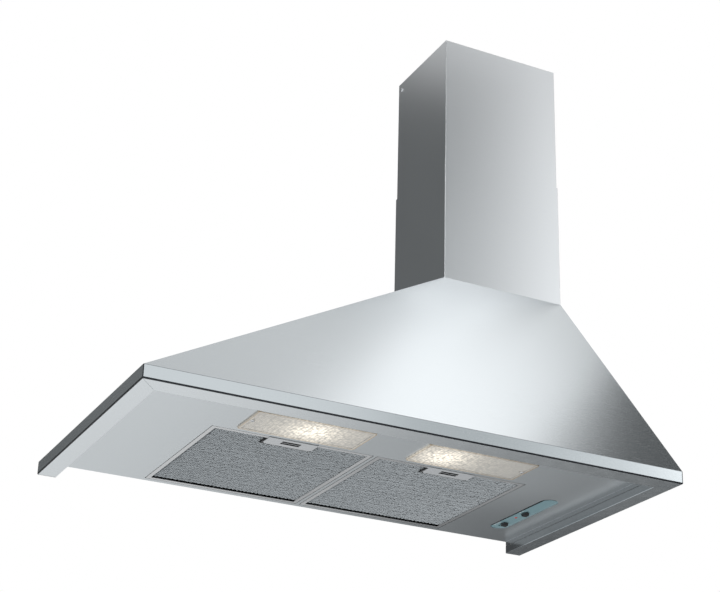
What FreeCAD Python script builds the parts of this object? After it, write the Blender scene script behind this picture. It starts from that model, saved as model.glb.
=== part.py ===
"""Wall-mounted chimney range hood with a pyramid canopy, as an assembly of named pieces.

Millimetres. +X is to the right as the cook sees it, +Y is towards the wall, +Z is up.
The origin is the centre of the canopy's footprint, at the height of its lowest edge.
"""
import FreeCAD, Part
import math
import os

V = FreeCAD.Vector

# ---- canopy: one folded and welded stainless sheet
canopy_width = 898.0
canopy_depth = 485.0
canopy_height = 416.0
band_height = 21.0
canopy_sheet = 1.0
canopy_fold_radius = 1.6
side_flange_width = 30.0
front_flange_width = 36.0
lip_height = 13.0
top_rim_width = 12.0
mitre_line_width = 0.5
mitre_line_depth = 0.35
mitre_line_share = 0.94

# ---- chimney: two U-shaped sections that telescope, set in from the canopy's right end
chimney_width = 240.0
chimney_depth = 190.0
chimney_inset = 25.0
chimney_sheet = 0.8
chimney_slide_gap = 0.6
chimney_return = 15.0
lower_chimney_height = 238.0
upper_chimney_length = 440.0
hood_height = 905.0
chimney_tab_length = 26.0
chimney_tab_width = 11.0
chimney_screw_radius = 2.0
chimney_screw_head_radius = 3.8
bracket_height = 30.0
bracket_sheet = 1.5
bracket_ear_length = 20.0
bracket_screw_drop = 16.0
bracket_hole_spacing = 150.0
bracket_hole_radius = 3.0

# ---- back panel, with the holes that hang the hood on the wall
back_sheet = 1.0
back_flange_width = 14.0
back_foot_clear = 12.0
hanging_hole_height = 246.0
hanging_hole_spacing = 200.0
hanging_slot_length = 18.0
hanging_hole_radius = 4.0
safety_hole_height = 60.0
safety_hole_spacing = 560.0
safety_hole_radius = 3.0

# ---- underside panel
panel_sheet = 1.0
panel_rim_height = 7.4
panel_rim_gap = 0.6
panel_corner_radius = 3.0

# ---- grease filters: a pair that hangs on rear tabs and latches at the front
filter_width = 269.0
filter_length = 289.0
filter_height = 9.0
filter_sheet = 1.0
filter_lip_width = 7.0
filter_spacing = 8.0
filter_front_setback = 184.0
filter_gap = 1.0
filter_corner_crop = 1.5
filter_mesh_sheet = 0.5
filter_core_sheet = 0.4
filter_core_pitch = 20.0
filter_tab_width = 22.0
filter_tab_reach = 8.0
filter_tab_sheet = 1.5
filter_tab_spacing = 170.0
filter_tab_lift = 0.3

# ---- filter latch: a sprung slide with a tongue over the panel's edge
latch_width = 82.0
latch_length = 29.0
latch_sheet = 1.0
latch_taper = 4.0
latch_gap = 0.15
latch_travel = 6.0
latch_tongue_width = 38.0
latch_tongue_reach = 4.5
latch_tongue_lift = 0.4
latch_slot_length = 30.0
latch_slot_width = 2.6
latch_slot_spacing = 5.6
latch_runner_sheet = 0.9
latch_runner_hook = 2.4
latch_guide_sheet = 0.8
latch_guide_height = 5.6
latch_guide_ledge = 3.6
latch_tab_width = 7.0
latch_spring_sheet = 0.35
latch_spring_width = 3.0
latch_spring_reach = 2.4
latch_spring_folds = 5

# ---- lamps
lamp_inner_offset = 45.5
lens_width = 194.0
lens_length = 84.0
lens_front_setback = 86.0
lens_thickness = 2.5
lens_rim_width = 4.5
lens_rim_drop = 0.8
lens_corner_radius = 4.0
lens_gap = 1.0
lens_screw_setback = 7.5
lens_screw_radius = 1.5
lens_screw_head_radius = 3.2
lens_pocket_depth = 0.9
lens_boss_wall = 1.6
lamp_housing_height = 48.0
lamp_housing_sheet = 0.7
lamp_housing_taper = 9.0
lamp_housing_flange = 8.0
lamp_seat_width = 4.0
bulb_radius = 17.5
bulb_length = 54.0
bulb_shoulder = 22.0
bulb_neck_start = 2.0
bulb_neck_radius = 7.0
bulb_cap_radius = 7.0
bulb_cap_length = 24.0
socket_radius = 12.5
socket_length = 34.0
socket_bore_gap = 0.25

# ---- slider controls
control_side_setback = 61.0
control_front = -12.0
control_length = 190.0
control_width = 32.0
control_plate_sheet = 1.5
control_plate_margin = 6.0
knob_length = 12.0
knob_width = 9.0
knob_height = 5.0
knob_gap = 0.4
knob_stem = 3.0
knob_stem_reach = 8.0
speed_knob_setback = 32.0
speed_knob_travel = 18.0
indicator_setback = 70.0
indicator_radius = 2.6
indicator_collar_height = 1.5
lamp_knob_setback = 100.0
lamp_knob_travel = 8.0
switch_box_width = 26.0
switch_box_length = 170.0
switch_box_height = 22.0
switch_box_front_gap = 10.0

# ---- blower: double-inlet centrifugal fan in a moulded scroll, hung from a plate
fan_axis_height = 166.0
fan_axis_setback = 145.0
scroll_start_radius = 92.0
scroll_step = 12.0
scroll_side_room = 35.0
scroll_wall = 2.5
scroll_top = 308.0
scroll_flange_width = 14.0
scroll_flange_height = 3.0
inlet_radius = 62.0
inlet_ring_lip = 9.0
inlet_ring_wall = 2.0
inlet_ring_plug = 3.5
inlet_sides = 24
impeller_radius = 80.0
impeller_end_room = 10.0
impeller_ring_depth = 14.0
impeller_ring_sheet = 2.0
impeller_disc_sheet = 2.5
impeller_sides = 24
impeller_hub_radius = 13.0
impeller_hub_length = 26.0
blade_count = 18
blade_depth = 12.0
blade_sheet = 1.2
blade_angle = 48.0
shaft_radius = 4.0
shaft_gap = 0.05
bearing_radius = 8.0
bearing_length = 8.0
motor_radius = 44.0
motor_length = 56.0
motor_gap = 8.0
motor_chamfer = 5.0
spider_sheet = 2.5
spider_arm_width = 16.0
spider_arms = 3
blower_screw_radius = 2.5
blower_screw_head_radius = 4.5

# ---- blower plate, outlet and electrics
plate_sheet = 1.5
plate_side_overhang = 1.0
plate_front_setback = 222.0
plate_flange_drop = 18.0
plate_screw_spacing = 95.0
collar_radius = 60.0
collar_wall = 2.0
collar_height = 48.0
collar_flange_radius = 74.0
collar_flange_sheet = 3.0
collar_setback = 81.0
collar_sides = 32
flap_height = 16.0
flap_sheet = 1.2
flap_gap = 0.8
flap_root = 4.2
flap_pin_radius = 1.5
flap_pin_gap = 0.06
flap_pin_seat = 1.4
flap_knuckle_radius = 3.2
flap_knuckle_length = 9.0
flap_ledge_width = 4.0
flap_ledge_height = 2.0
capacitor_radius = 15.0
capacitor_length = 58.0
terminal_box_size = V(84.0, 56.0, 30.0)
terminal_box_wall = 2.2
terminal_box_lead = 18.5
terminal_screw_radius = 1.8
gland_radius = 9.0
gland_height = 20.0

# ---- fasteners and general clearances
screw_sides = 8
head_sides = 12
small_barrel_sides = 12
barrel_sides = 24
fit_gap = 0.3

# ---- places worked out from the sizes above
left = -canopy_width / 2
right = canopy_width / 2
front = -canopy_depth / 2
wall = canopy_depth / 2
chimney_right = right - chimney_inset
chimney_left = chimney_right - chimney_width
chimney_front = wall - chimney_depth
chimney_centre = (chimney_left + chimney_right) / 2
scroll_width = chimney_width - 2 * scroll_side_room
impeller_length = scroll_width - 2 * impeller_end_room
lip_left = left + side_flange_width
lip_right = right - side_flange_width
lip_front = front + front_flange_width
panel_bottom = lip_height + panel_rim_gap + panel_rim_height
panel_top = panel_bottom + panel_sheet
filter_front = front + filter_front_setback
filter_back = filter_front + filter_length
filter_bottom = panel_bottom
filter_top = filter_bottom + filter_height
lens_front = front + lens_front_setback
lens_back = lens_front + lens_length
fan_y = wall - fan_axis_setback
scroll_back = fan_y + scroll_step + scroll_start_radius + 2 * scroll_step
plate_bottom = scroll_top
plate_top = plate_bottom + plate_sheet
collar_y = wall - collar_setback
control_back = control_front + control_length
control_centre_x = lip_right - control_side_setback


def box(x0, x1, y0, y1, z0, z1):
    """Block between two corners."""
    return Part.makeBox(x1 - x0, y1 - y0, z1 - z0, V(x0, y0, z0))


def rod(radius, start, end):
    """Round bar from one point to another."""
    axis = end.sub(start)
    return Part.makeCylinder(radius, axis.Length, start, axis)


def fuse_all(shapes):
    """One solid from shapes that touch or cross."""
    result = shapes[0]
    if len(shapes) > 1:
        result = shapes[0].multiFuse(shapes[1:])
    return result.removeSplitter()


def prism(points, direction):
    """Straight-sided solid from a closed outline and the way it is drawn out."""
    outline = Part.makePolygon(points + points[:1])
    return Part.Face(outline).extrude(direction)


def frustum(low, high):
    """Solid between two level outlines with as many corners, joined by flat sides."""
    count = len(low)
    faces = [Part.Face(Part.makePolygon(low + low[:1])), Part.Face(Part.makePolygon(high + high[:1]))]
    for i in range(count):
        k = (i + 1) % count
        faces.append(Part.Face(Part.makePolygon([low[i], low[k], high[k], high[i], low[i]])))
    return Part.makeSolid(Part.makeShell(faces))


def ring_of_points(centre, side, cross, radius, count):
    """Corners of a regular outline round a centre, in the plane of two directions."""
    points = []
    for i in range(count):
        angle = 2 * math.pi * i / count
        points.append(centre + side * (radius * math.cos(angle)) + cross * (radius * math.sin(angle)))
    return points


def bar_axes(direction):
    """Unit vector along a bar and two across it."""
    way = V(direction)
    way.normalize()
    side = V(0, 0, 1) if abs(way.z) < 0.5 else V(1, 0, 0)
    return way, side, way.cross(side)


def peg(radius, start, end, sides):
    """Many-sided bar or hole from one point to another."""
    axis = end.sub(start)
    _, side, cross = bar_axes(axis)
    return prism(ring_of_points(start, side, cross, radius, sides), axis)


def turned_bar(start, direction, stations, sides):
    """Many-sided bar that has its own radius at each distance along its axis."""
    way, side, cross = bar_axes(direction)
    rings = [ring_of_points(start + way * distance, side, cross, radius, sides)
             for distance, radius in stations]
    return fuse_all([frustum(low, high) for low, high in zip(rings, rings[1:])])


def turned_ring(centre, direction, profile, sides):
    """Many-sided ring: a closed profile of distances and radii carried round an axis."""
    way, side, cross = bar_axes(direction)
    rings = [ring_of_points(centre + way * distance, side, cross, radius, sides)
             for distance, radius in profile]
    faces = []
    for a, b in zip(rings, rings[1:] + rings[:1]):
        for i in range(sides):
            k = (i + 1) % sides
            faces.append(Part.Face(Part.makePolygon([a[i], a[k], b[k], b[i], a[i]])))
    return Part.makeSolid(Part.makeShell(faces)).removeSplitter()


def rounded_slab(x0, x1, y0, y1, z0, z1, radius):
    """Flat slab whose upright corners are rounded."""
    slab = box(x0, x1, y0, y1, z0, z1)
    return slab.makeFillet(radius, upright_edges(slab))


def upright_edges(shape):
    """Straight edges of a shape that run along Z."""
    found = []
    for edge in shape.Edges:
        ends = edge.Vertexes
        if len(ends) == 2:
            a = ends[0].Point
            b = ends[1].Point
            if abs(a.x - b.x) < 1e-6 and abs(a.y - b.y) < 1e-6:
                found.append(edge)
    return found


def obround(x, y0, y1, width, z0, z1):
    """Slab with half-round ends that runs along Y."""
    r = width / 2
    middle = box(x - r, x + r, y0 + r, y1 - r, z0, z1)
    ends = [rod(r, V(x, y, z0), V(x, y, z1)) for y in (y0 + r, y1 - r)]
    return fuse_all([middle] + ends)


def pan_screw(seat, direction, shank_radius, head_radius, shank_length):
    """Pan-head screw; the head's underside is at the seat."""
    way, side, cross = bar_axes(direction)
    height = head_radius * 0.6
    shank = prism(ring_of_points(V(seat), side, cross, shank_radius, screw_sides), way * shank_length)
    stations = [(0, head_radius), (height * 0.55, head_radius), (height, head_radius * 0.7)]
    return fuse_all([shank, turned_bar(V(seat), way * -1, stations, head_sides)])


def hex_screw(seat, direction, shank_radius, head_radius, shank_length):
    """Hexagon-head screw; the head's underside is at the seat."""
    way, side, cross = bar_axes(direction)
    shank = prism(ring_of_points(V(seat), side, cross, shank_radius, screw_sides), way * shank_length)
    head = prism(ring_of_points(V(seat), side, cross, head_radius, 6), way * (-head_radius * 0.6))
    return fuse_all([head, shank])


# ---------------------------------------------------------------- canopy
def canopy_form(inset, z0, z1, past_wall=0.0):
    """Band and pyramid as a solid, with every outer face moved inwards by inset."""
    rise = canopy_height - band_height

    def section(z):
        def edge(start, run, sign):
            slope = run / rise
            lean = inset * math.sqrt(1 + slope * slope)
            return start + sign * (lean + slope * (z - band_height))
        x0 = edge(left, chimney_left - left, 1)
        x1 = edge(right, right - chimney_right, -1)
        y0 = edge(front, chimney_front - front, 1)
        y1 = wall + past_wall
        return [V(x0, y0, z), V(x1, y0, z), V(x1, y1, z), V(x0, y1, z)]

    pyramid = frustum(section(z0), section(z1))
    band = box(left + inset, right - inset, front + inset, wall + past_wall, z0, z1)
    return band.common(pyramid)


def canopy_outer():
    """Outside of the canopy with the fold between band and bottom flange rounded."""
    form = canopy_form(0, 0, canopy_height)
    bends = [e for e in form.Edges if all(v.Point.z < 1e-6 for v in e.Vertexes)
             and any(v.Point.y < wall - 1e-6 for v in e.Vertexes)]
    return form.makeFillet(canopy_fold_radius, bends)


def canopy_shell():
    """Pyramid, band, bottom flange with its upturned lip, and the rim round the chimney."""
    s = canopy_sheet
    shell = canopy_outer().cut(canopy_form(s, s, canopy_height - s, past_wall=s))
    mouth = box(lip_left, lip_right, lip_front, wall + s, -s, 2 * s)
    throat = box(chimney_left + top_rim_width, chimney_right - top_rim_width,
                 chimney_front + top_rim_width, wall + s, canopy_height - 2 * s, canopy_height + s)
    shell = shell.cut(mouth).cut(throat)
    lips = [
        box(lip_left - s, lip_left, lip_front - s, wall, 0, lip_height),
        box(lip_right, lip_right + s, lip_front - s, wall, 0, lip_height),
        box(lip_left - s, lip_right + s, lip_front - s, lip_front, 0, lip_height),
    ]
    shell = fuse_all([shell] + lips)
    holes = [chimney_screw_hole(side) for side in (-1, 1)]
    return shell.cut(fuse_all(holes + mitre_lines()))


def mitre_lines():
    """Fine grooves where the bottom flanges meet at the front corners."""
    lines = []
    half = mitre_line_width / 2
    for x, inner in ((left, lip_left), (right, lip_right)):
        outer_point = V(x, front, -mitre_line_depth)
        way = V(inner, lip_front, -mitre_line_depth) - outer_point
        inner_point = outer_point + way * mitre_line_share
        across = V(-way.y, way.x, 0)
        across.normalize()
        corners = [outer_point + across * half, inner_point + across * half,
                   inner_point - across * half, outer_point - across * half]
        lines.append(prism(corners, V(0, 0, 2 * mitre_line_depth)))
    return lines


# ---------------------------------------------------------------- back panel
def back_panel():
    """Plate that closes the canopy's back, with side flanges and the hanging holes."""
    gap = canopy_sheet
    low = panel_top
    high = canopy_height - canopy_sheet
    form = canopy_form(gap, low, high)
    plate = form.common(box(left, right, wall - back_sheet, wall, low, high))
    core = canopy_form(gap + back_sheet, 0, canopy_height, past_wall=1)
    strip = box(left, right, wall - back_flange_width, wall, low, high)
    flanges = form.common(strip).cut(core)
    feet = []
    for side, lip in ((-1, lip_left), (1, lip_right)):
        x0, x1 = sorted((filter_edge(side) + side * back_foot_clear, lip))
        feet.append(box(x0, x1, wall - back_flange_width, wall, low, low + back_sheet))
    panel = fuse_all([plate, flanges] + feet)
    holes = hanging_holes() + safety_holes() + plate_screw_holes()
    return panel.cut(fuse_all(holes))


def filter_edge(side):
    """X of the outer edge of one filter."""
    return side * (filter_spacing / 2 + filter_width)


def hanging_holes():
    """Pair of level slots that hang on the wall hooks."""
    holes = []
    half = hanging_slot_length / 2 - hanging_hole_radius
    for side in (-1, 1):
        x = chimney_centre + side * hanging_hole_spacing / 2
        z = hanging_hole_height
        r = hanging_hole_radius
        middle = box(x - half, x + half, wall - 3, wall + 3, z - r, z + r)
        ends = [rod(r, V(x + d, wall - 3, z), V(x + d, wall + 3, z)) for d in (-half, half)]
        holes.append(fuse_all([middle] + ends))
    return holes


def safety_holes():
    """Pair of round holes low in the plate for the screws that stop it lifting."""
    holes = []
    for side in (-1, 1):
        x = side * safety_hole_spacing / 2
        holes.append(rod(safety_hole_radius, V(x, wall - 3, safety_hole_height),
                         V(x, wall + 3, safety_hole_height)))
    return holes


# ---------------------------------------------------------------- underside panel
def filter_cell(side):
    """Low and high X of one filter."""
    inner = side * filter_spacing / 2
    outer = filter_edge(side)
    return min(inner, outer), max(inner, outer)


def lens_cell(side):
    """Low and high X of one lamp lens."""
    inner = side * lamp_inner_offset
    outer = inner + side * lens_width
    return min(inner, outer), max(inner, outer)


def underside_panel():
    """Flat panel in the canopy's mouth, turned down on three sides over the flange's lips."""
    s = panel_sheet
    x0 = lip_left - s
    x1 = lip_right + s
    y0 = lip_front - s
    y1 = wall - fit_gap
    rim_low = panel_bottom - panel_rim_height
    tray = box(x0, x1, y0, y1, rim_low, panel_top)
    hollow = box(x0 + s, x1 - s, y0 + s, y1 + s, rim_low - s, panel_bottom)
    panel = tray.cut(hollow)
    cuts = []
    for side in (-1, 1):
        x0, x1 = filter_cell(side)
        cuts.append(box(x0 - filter_gap, x1 + filter_gap, filter_front - filter_gap,
                        filter_back + filter_gap, panel_bottom - 5, panel_top + 5))
        x0, x1 = lens_cell(side)
        cuts.append(rounded_slab(x0 - lens_gap, x1 + lens_gap, lens_front - lens_gap,
                                 lens_back + lens_gap, panel_bottom - 5, panel_top + 5,
                                 panel_corner_radius))
    cuts.append(obround(control_centre_x, control_front, control_back, control_width,
                        panel_bottom - 5, panel_top + 5))
    for cut in cuts:
        panel = panel.cut(cut)
    return panel


# ---------------------------------------------------------------- grease filters
def filter_frame(side):
    """Folded channel round the filter, with rear tabs and a notch for the latch."""
    x0, x1 = filter_cell(side)
    s = filter_sheet
    lip = filter_lip_width
    outer = box(x0, x1, filter_front, filter_back, filter_bottom, filter_top)
    outer = outer.makeChamfer(filter_corner_crop, upright_edges(outer))
    channel = box(x0 + s, x1 - s, filter_front + s, filter_back - s, filter_bottom + s, filter_top - s)
    window = box(x0 + lip, x1 - lip, filter_front + lip, filter_back - lip,
                 filter_bottom - 1, filter_top + 1)
    frame = outer.cut(channel).cut(window)
    middle = (x0 + x1) / 2
    tabs = []
    tab_low = panel_top + filter_tab_lift
    for way in (-1, 1):
        x = middle + way * filter_tab_spacing / 2
        tabs.append(box(x - filter_tab_width / 2, x + filter_tab_width / 2, filter_back - s,
                        filter_back + filter_gap + filter_tab_reach, tab_low,
                        tab_low + filter_tab_sheet))
    frame = fuse_all([frame] + tabs)
    half = latch_tongue_width / 2 + 1
    notch = box(middle - half, middle + half, filter_front - 1, filter_front + lip + 1,
                filter_bottom - 1, panel_top + latch_tongue_lift + latch_sheet + 1)
    return frame.cut(notch)


def latch_pocket(side, grow):
    """Room for the latch guide in the filter's mesh."""
    x0, x1 = filter_cell(side)
    middle = (x0 + x1) / 2
    half = latch_width / 2 + latch_guide_sheet + grow
    return box(middle - half, middle + half, filter_front,
               latch_back() + latch_travel + latch_guide_sheet + 1 + grow,
               filter_bottom - 1, filter_top + 1)


def latch_back():
    """Y of the latch plate's rear edge."""
    return filter_front + latch_length


def filter_mesh(side):
    """Flat mesh sheets on the two faces of the filter, under the frame's lips."""
    x0, x1 = filter_cell(side)
    s = filter_sheet
    g = fit_gap
    sheets = []
    low = filter_bottom + s
    high = filter_top - s - filter_mesh_sheet
    for z in (low, high):
        sheets.append(box(x0 + s + g, x1 - s - g, filter_front + s + g, filter_back - s - g,
                          z, z + filter_mesh_sheet))
    sheets[0] = sheets[0].cut(latch_pocket(side, g))
    return Part.makeCompound(sheets)


def filter_core(side):
    """Pleated mesh pack between the two flat sheets."""
    x0, x1 = filter_cell(side)
    s = filter_sheet
    y = filter_front + s + fit_gap
    end = filter_back - s - fit_gap
    low = filter_bottom + s + filter_mesh_sheet + 0.1
    high = filter_top - s - filter_mesh_sheet - 0.1 - filter_core_sheet
    pleats = int((end - y) / filter_core_pitch)
    step = (end - y) / pleats
    line = []
    for i in range(pleats):
        line.append((y + i * step, low))
        line.append((y + (i + 0.5) * step, high))
    line.append((end, low))
    lower = [V(x0 + s + fit_gap, a, b) for a, b in line]
    upper = [V(x0 + s + fit_gap, a, b + filter_core_sheet) for a, b in reversed(line)]
    pack = prism(lower + upper, V(filter_width - 2 * s - 2 * fit_gap, 0, 0))
    return pack.cut(latch_pocket(side, 2 * fit_gap))


def latch_guide(side):
    """Shallow tray on the frame's front lip that carries the latch and its spring."""
    x0, x1 = filter_cell(side)
    middle = (x0 + x1) / 2
    half = latch_width / 2 + latch_guide_sheet
    y0 = filter_front + filter_sheet
    y1 = latch_back() + latch_travel + latch_guide_sheet
    z0 = filter_bottom + filter_sheet
    z1 = z0 + latch_guide_height
    t = latch_guide_sheet
    tray = box(middle - half, middle + half, y0, y1, z0, z1)
    hollow = box(middle - half + t, middle + half - t, y0 - 1, y1 - t, z0 - 1, z1 - t)
    tray = tray.cut(hollow)
    ledges = []
    for way in (-1, 1):
        a = middle + way * (half - t)
        b = middle + way * (half - t - latch_guide_ledge)
        ledges.append(box(min(a, b), max(a, b), y0, y1, z0, z0 + t))
    return fuse_all([tray] + ledges)


def spring_z():
    """Height of the latch spring's axis."""
    return filter_bottom + filter_sheet + latch_guide_height / 2 - latch_guide_sheet / 2


def latch_tab_y():
    """Y of the rear face of the latch tab that the spring pushes."""
    return latch_back() - latch_taper


def filter_latch(side):
    """Sliding finger plate with two grip slots, side runners and a tongue."""
    x0, x1 = filter_cell(side)
    middle = (x0 + x1) / 2
    s = latch_sheet
    top = filter_bottom - latch_gap
    bottom = top - s
    half = latch_width / 2
    rear = half - latch_taper
    y0 = filter_front
    y1 = latch_back()
    corners = [V(middle - half, y0, bottom), V(middle + half, y0, bottom),
               V(middle + half, y1 - latch_taper, bottom), V(middle + rear, y1, bottom),
               V(middle - rear, y1, bottom), V(middle - half, y1 - latch_taper, bottom)]
    plate = prism(corners, V(0, 0, s))
    grip_y = y0 + latch_length * 0.45
    for way in (-1, 1):
        y = grip_y + way * latch_slot_spacing / 2
        plate = plate.cut(box(middle - latch_slot_length / 2, middle + latch_slot_length / 2,
                              y - latch_slot_width / 2, y + latch_slot_width / 2,
                              bottom - 1, top + 1))
    tongue_half = latch_tongue_width / 2
    tongue_low = panel_top + latch_tongue_lift
    riser = box(middle - tongue_half, middle + tongue_half, y0, y0 + s, bottom, tongue_low + s)
    tongue = box(middle - tongue_half, middle + tongue_half,
                 y0 - filter_gap - latch_tongue_reach, y0 + s, tongue_low, tongue_low + s)
    tab = box(middle - latch_tab_width / 2, middle + latch_tab_width / 2,
              latch_tab_y() - s, latch_tab_y(), bottom, spring_z() + latch_spring_width / 2)
    runners = []
    y_start = y0 + filter_lip_width + 2.0
    y_end = y1 - latch_taper - 1.0
    hook_low = filter_bottom + filter_sheet + latch_guide_sheet + latch_gap
    hook_high = hook_low + latch_runner_sheet
    for way in (-1, 1):
        face = middle + way * (half - latch_guide_ledge - latch_gap)
        inner = face - way * latch_runner_sheet
        outer = face + way * latch_runner_hook
        runners.append(box(min(face, inner), max(face, inner), y_start, y_end, bottom, hook_high))
        runners.append(box(min(inner, outer), max(inner, outer), y_start, y_end, hook_low, hook_high))
    return fuse_all([plate, riser, tongue, tab] + runners)


def latch_spring(side):
    """Folded strip spring between the latch's tab and the guide's rear wall."""
    x0, x1 = filter_cell(side)
    middle = (x0 + x1) / 2
    start = latch_tab_y() + fit_gap
    end = latch_back() + latch_travel - fit_gap
    step = (end - start) / latch_spring_folds
    leg = math.hypot(step, 2 * latch_spring_reach)
    shift = latch_spring_sheet * leg / step / 2
    low = spring_z() - latch_spring_width / 2
    line = []
    for i in range(latch_spring_folds + 1):
        way = 1 if i % 2 else -1
        line.append((middle + way * latch_spring_reach, start + i * step))
    near = [V(x - shift, y, low) for x, y in line]
    far = [V(x + shift, y, low) for x, y in reversed(line)]
    return prism(near + far, V(0, 0, latch_spring_width))


# ---------------------------------------------------------------- lamps
def lamp_housing(side):
    """Pressed reflector tray over a lamp opening, with a seat round its mouth."""
    x0, x1 = lens_cell(side)
    t = lamp_housing_sheet
    seat = lamp_seat_width
    z0 = panel_top
    z1 = panel_top + lamp_housing_height
    flange = box(x0 - lamp_housing_flange, x1 + lamp_housing_flange,
                 lens_front - lamp_housing_flange, lens_back + lamp_housing_flange, z0, z0 + t)

    def tray(grow, low, high):
        k = lamp_housing_taper

        def ring(z, inward):
            a = x0 + seat - grow + inward
            b = x1 - seat + grow - inward
            c = lens_front + seat - grow + inward
            d = lens_back - seat + grow - inward
            return [V(a, c, z), V(b, c, z), V(b, d, z), V(a, d, z)]
        return frustum(ring(low, 0), ring(high, k))

    shell = fuse_all([flange, tray(t, z0, z1)])
    shell = shell.cut(tray(0, z0 - 0.01, z1 - t))
    hole = peg(lens_screw_radius, V(lens_screw_x(side), lens_mid_y(), z0 - 1),
               V(lens_screw_x(side), lens_mid_y(), z0 + 3), screw_sides)
    lug = box(lens_screw_x(side) - 5, lens_screw_x(side) + 5, lens_mid_y() - 6, lens_mid_y() + 6,
              z0, z0 + 2 * t)
    return fuse_all([shell, lug]).cut(hole)


def lens_mid_y():
    """Y of the lamps' centre line."""
    return (lens_front + lens_back) / 2


def lens_screw_x(side):
    """X of the screw at the lens's outer end."""
    return side * (lamp_inner_offset + lens_width - lens_screw_setback)


def lamp_lens(side):
    """Moulded diffuser plate with a rim and a screw hole at its outer end."""
    x0, x1 = lens_cell(side)
    top = panel_top
    bottom = top - lens_thickness
    body = rounded_slab(x0, x1, lens_front, lens_back, bottom, top, lens_corner_radius)
    rim = rounded_slab(x0, x1, lens_front, lens_back, bottom - lens_rim_drop, bottom + 0.1,
                       lens_corner_radius)
    w = lens_rim_width
    inside = box(x0 + w, x1 - w, lens_front + w, lens_back - w, bottom - 2, bottom)
    lens = fuse_all([body, rim.cut(inside)])
    x = lens_screw_x(side)
    y = lens_mid_y()
    boss = peg(lens_screw_head_radius + lens_boss_wall, V(x, y, bottom - lens_rim_drop), V(x, y, top),
               head_sides)
    hole = peg(lens_screw_radius + fit_gap, V(x, y, bottom - 2), V(x, y, top + 1), screw_sides)
    sink = peg(lens_screw_head_radius + fit_gap, V(x, y, bottom - 2),
               V(x, y, bottom - lens_rim_drop + lens_pocket_depth), head_sides)
    return fuse_all([lens, boss]).cut(hole).cut(sink)


def lens_screws():
    """Screws that hold the lenses to their housings."""
    z = panel_top - lens_thickness - lens_rim_drop + lens_pocket_depth
    length = panel_top + 2 * lamp_housing_sheet + 3 - z
    screws = []
    for side in (-1, 1):
        seat = V(lens_screw_x(side), lens_mid_y(), z)
        screws.append(pan_screw(seat, V(0, 0, 1), lens_screw_radius - 0.05,
                                lens_screw_head_radius, length))
    return Part.makeCompound(screws)


def socket_x(side):
    """X of the lamp holder's open end."""
    return side * (lamp_inner_offset + lens_width - 58.0)


def lamp_z():
    """Height of the bulb's axis."""
    return panel_top + lamp_housing_height / 2 + 1.0


def lamp_socket(side):
    """Lamp holder: a ribbed cup on a foot fixed to the housing's roof."""
    x = socket_x(side)
    y = lens_mid_y()
    z = lamp_z()
    cup = peg(socket_radius, V(x, y, z), V(x + side * socket_length, y, z), small_barrel_sides)
    skirt = peg(socket_radius + 1.5, V(x, y, z), V(x + side * 5, y, z), small_barrel_sides)
    bore = peg(bulb_cap_radius + socket_bore_gap, V(x - side, y, z),
               V(x + side * (bulb_cap_length - 5 + socket_bore_gap), y, z), small_barrel_sides)
    roof = panel_top + lamp_housing_height - lamp_housing_sheet
    foot_x = sorted((x + side * 9, x + side * (socket_length - 3)))
    foot = box(foot_x[0], foot_x[1], y - 8, y + 8, z, roof)
    return fuse_all([cup, skirt, foot]).cut(bore)


def lamp_bulb(side):
    """Glass envelope: a neck that widens into a barrel with a tapered nose."""
    x = socket_x(side)
    y = lens_mid_y()
    z = lamp_z()
    stations = [(bulb_neck_start, bulb_neck_radius), (bulb_shoulder, bulb_radius),
                (bulb_length - bulb_radius / 2, bulb_radius), (bulb_length, bulb_radius / 2)]
    return turned_bar(V(x, y, z), V(-side, 0, 0), stations, barrel_sides)


def lamp_cap(side):
    """Metal cap of the bulb with its collar and centre contact."""
    x = socket_x(side)
    y = lens_mid_y()
    z = lamp_z()
    end = x + side * (bulb_cap_length - 8)
    barrel = peg(bulb_cap_radius, V(x + side, y, z), V(end, y, z), small_barrel_sides)
    collar = peg(bulb_cap_radius - 1, V(x - side * bulb_neck_start, y, z), V(x + side * 2, y, z),
                 small_barrel_sides)
    tip = peg(bulb_cap_radius / 2, V(end, y, z), V(end + side * 3, y, z), screw_sides)
    return fuse_all([barrel, collar, tip])


# ---------------------------------------------------------------- controls
def control_plate():
    """Printed plate behind the obround opening, with slots for the two sliders."""
    m = control_plate_margin
    z0 = panel_top
    z1 = z0 + control_plate_sheet
    half = control_width / 2 + m
    plate = box(control_centre_x - half, control_centre_x + half, control_front - m, control_back + m,
                z0, z1)
    slots = [knob_slot(speed_knob_y(), speed_knob_travel, z0 - 1, z1 + 1),
             knob_slot(lamp_knob_y() - lamp_knob_travel, lamp_knob_travel, z0 - 1, z1 + 1)]
    led = peg(indicator_radius + 0.1, V(control_centre_x, indicator_y(), z0 - 1),
              V(control_centre_x, indicator_y(), z1 + 1), small_barrel_sides)
    return plate.cut(fuse_all(slots)).cut(led)


def speed_knob_y():
    """Y of the speed slider at its off position."""
    return control_back - speed_knob_setback


def lamp_knob_y():
    """Y of the lamp slider at its off position."""
    return control_back - lamp_knob_setback


def indicator_y():
    """Y of the pilot light."""
    return control_back - indicator_setback


def knob_slot(y, travel, z0, z1):
    """Slot that a slider's stem runs in, from its position at y to y plus travel."""
    half = knob_stem / 2 + knob_gap
    return box(control_centre_x - half, control_centre_x + half, y - half, y + travel + half, z0, z1)


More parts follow.
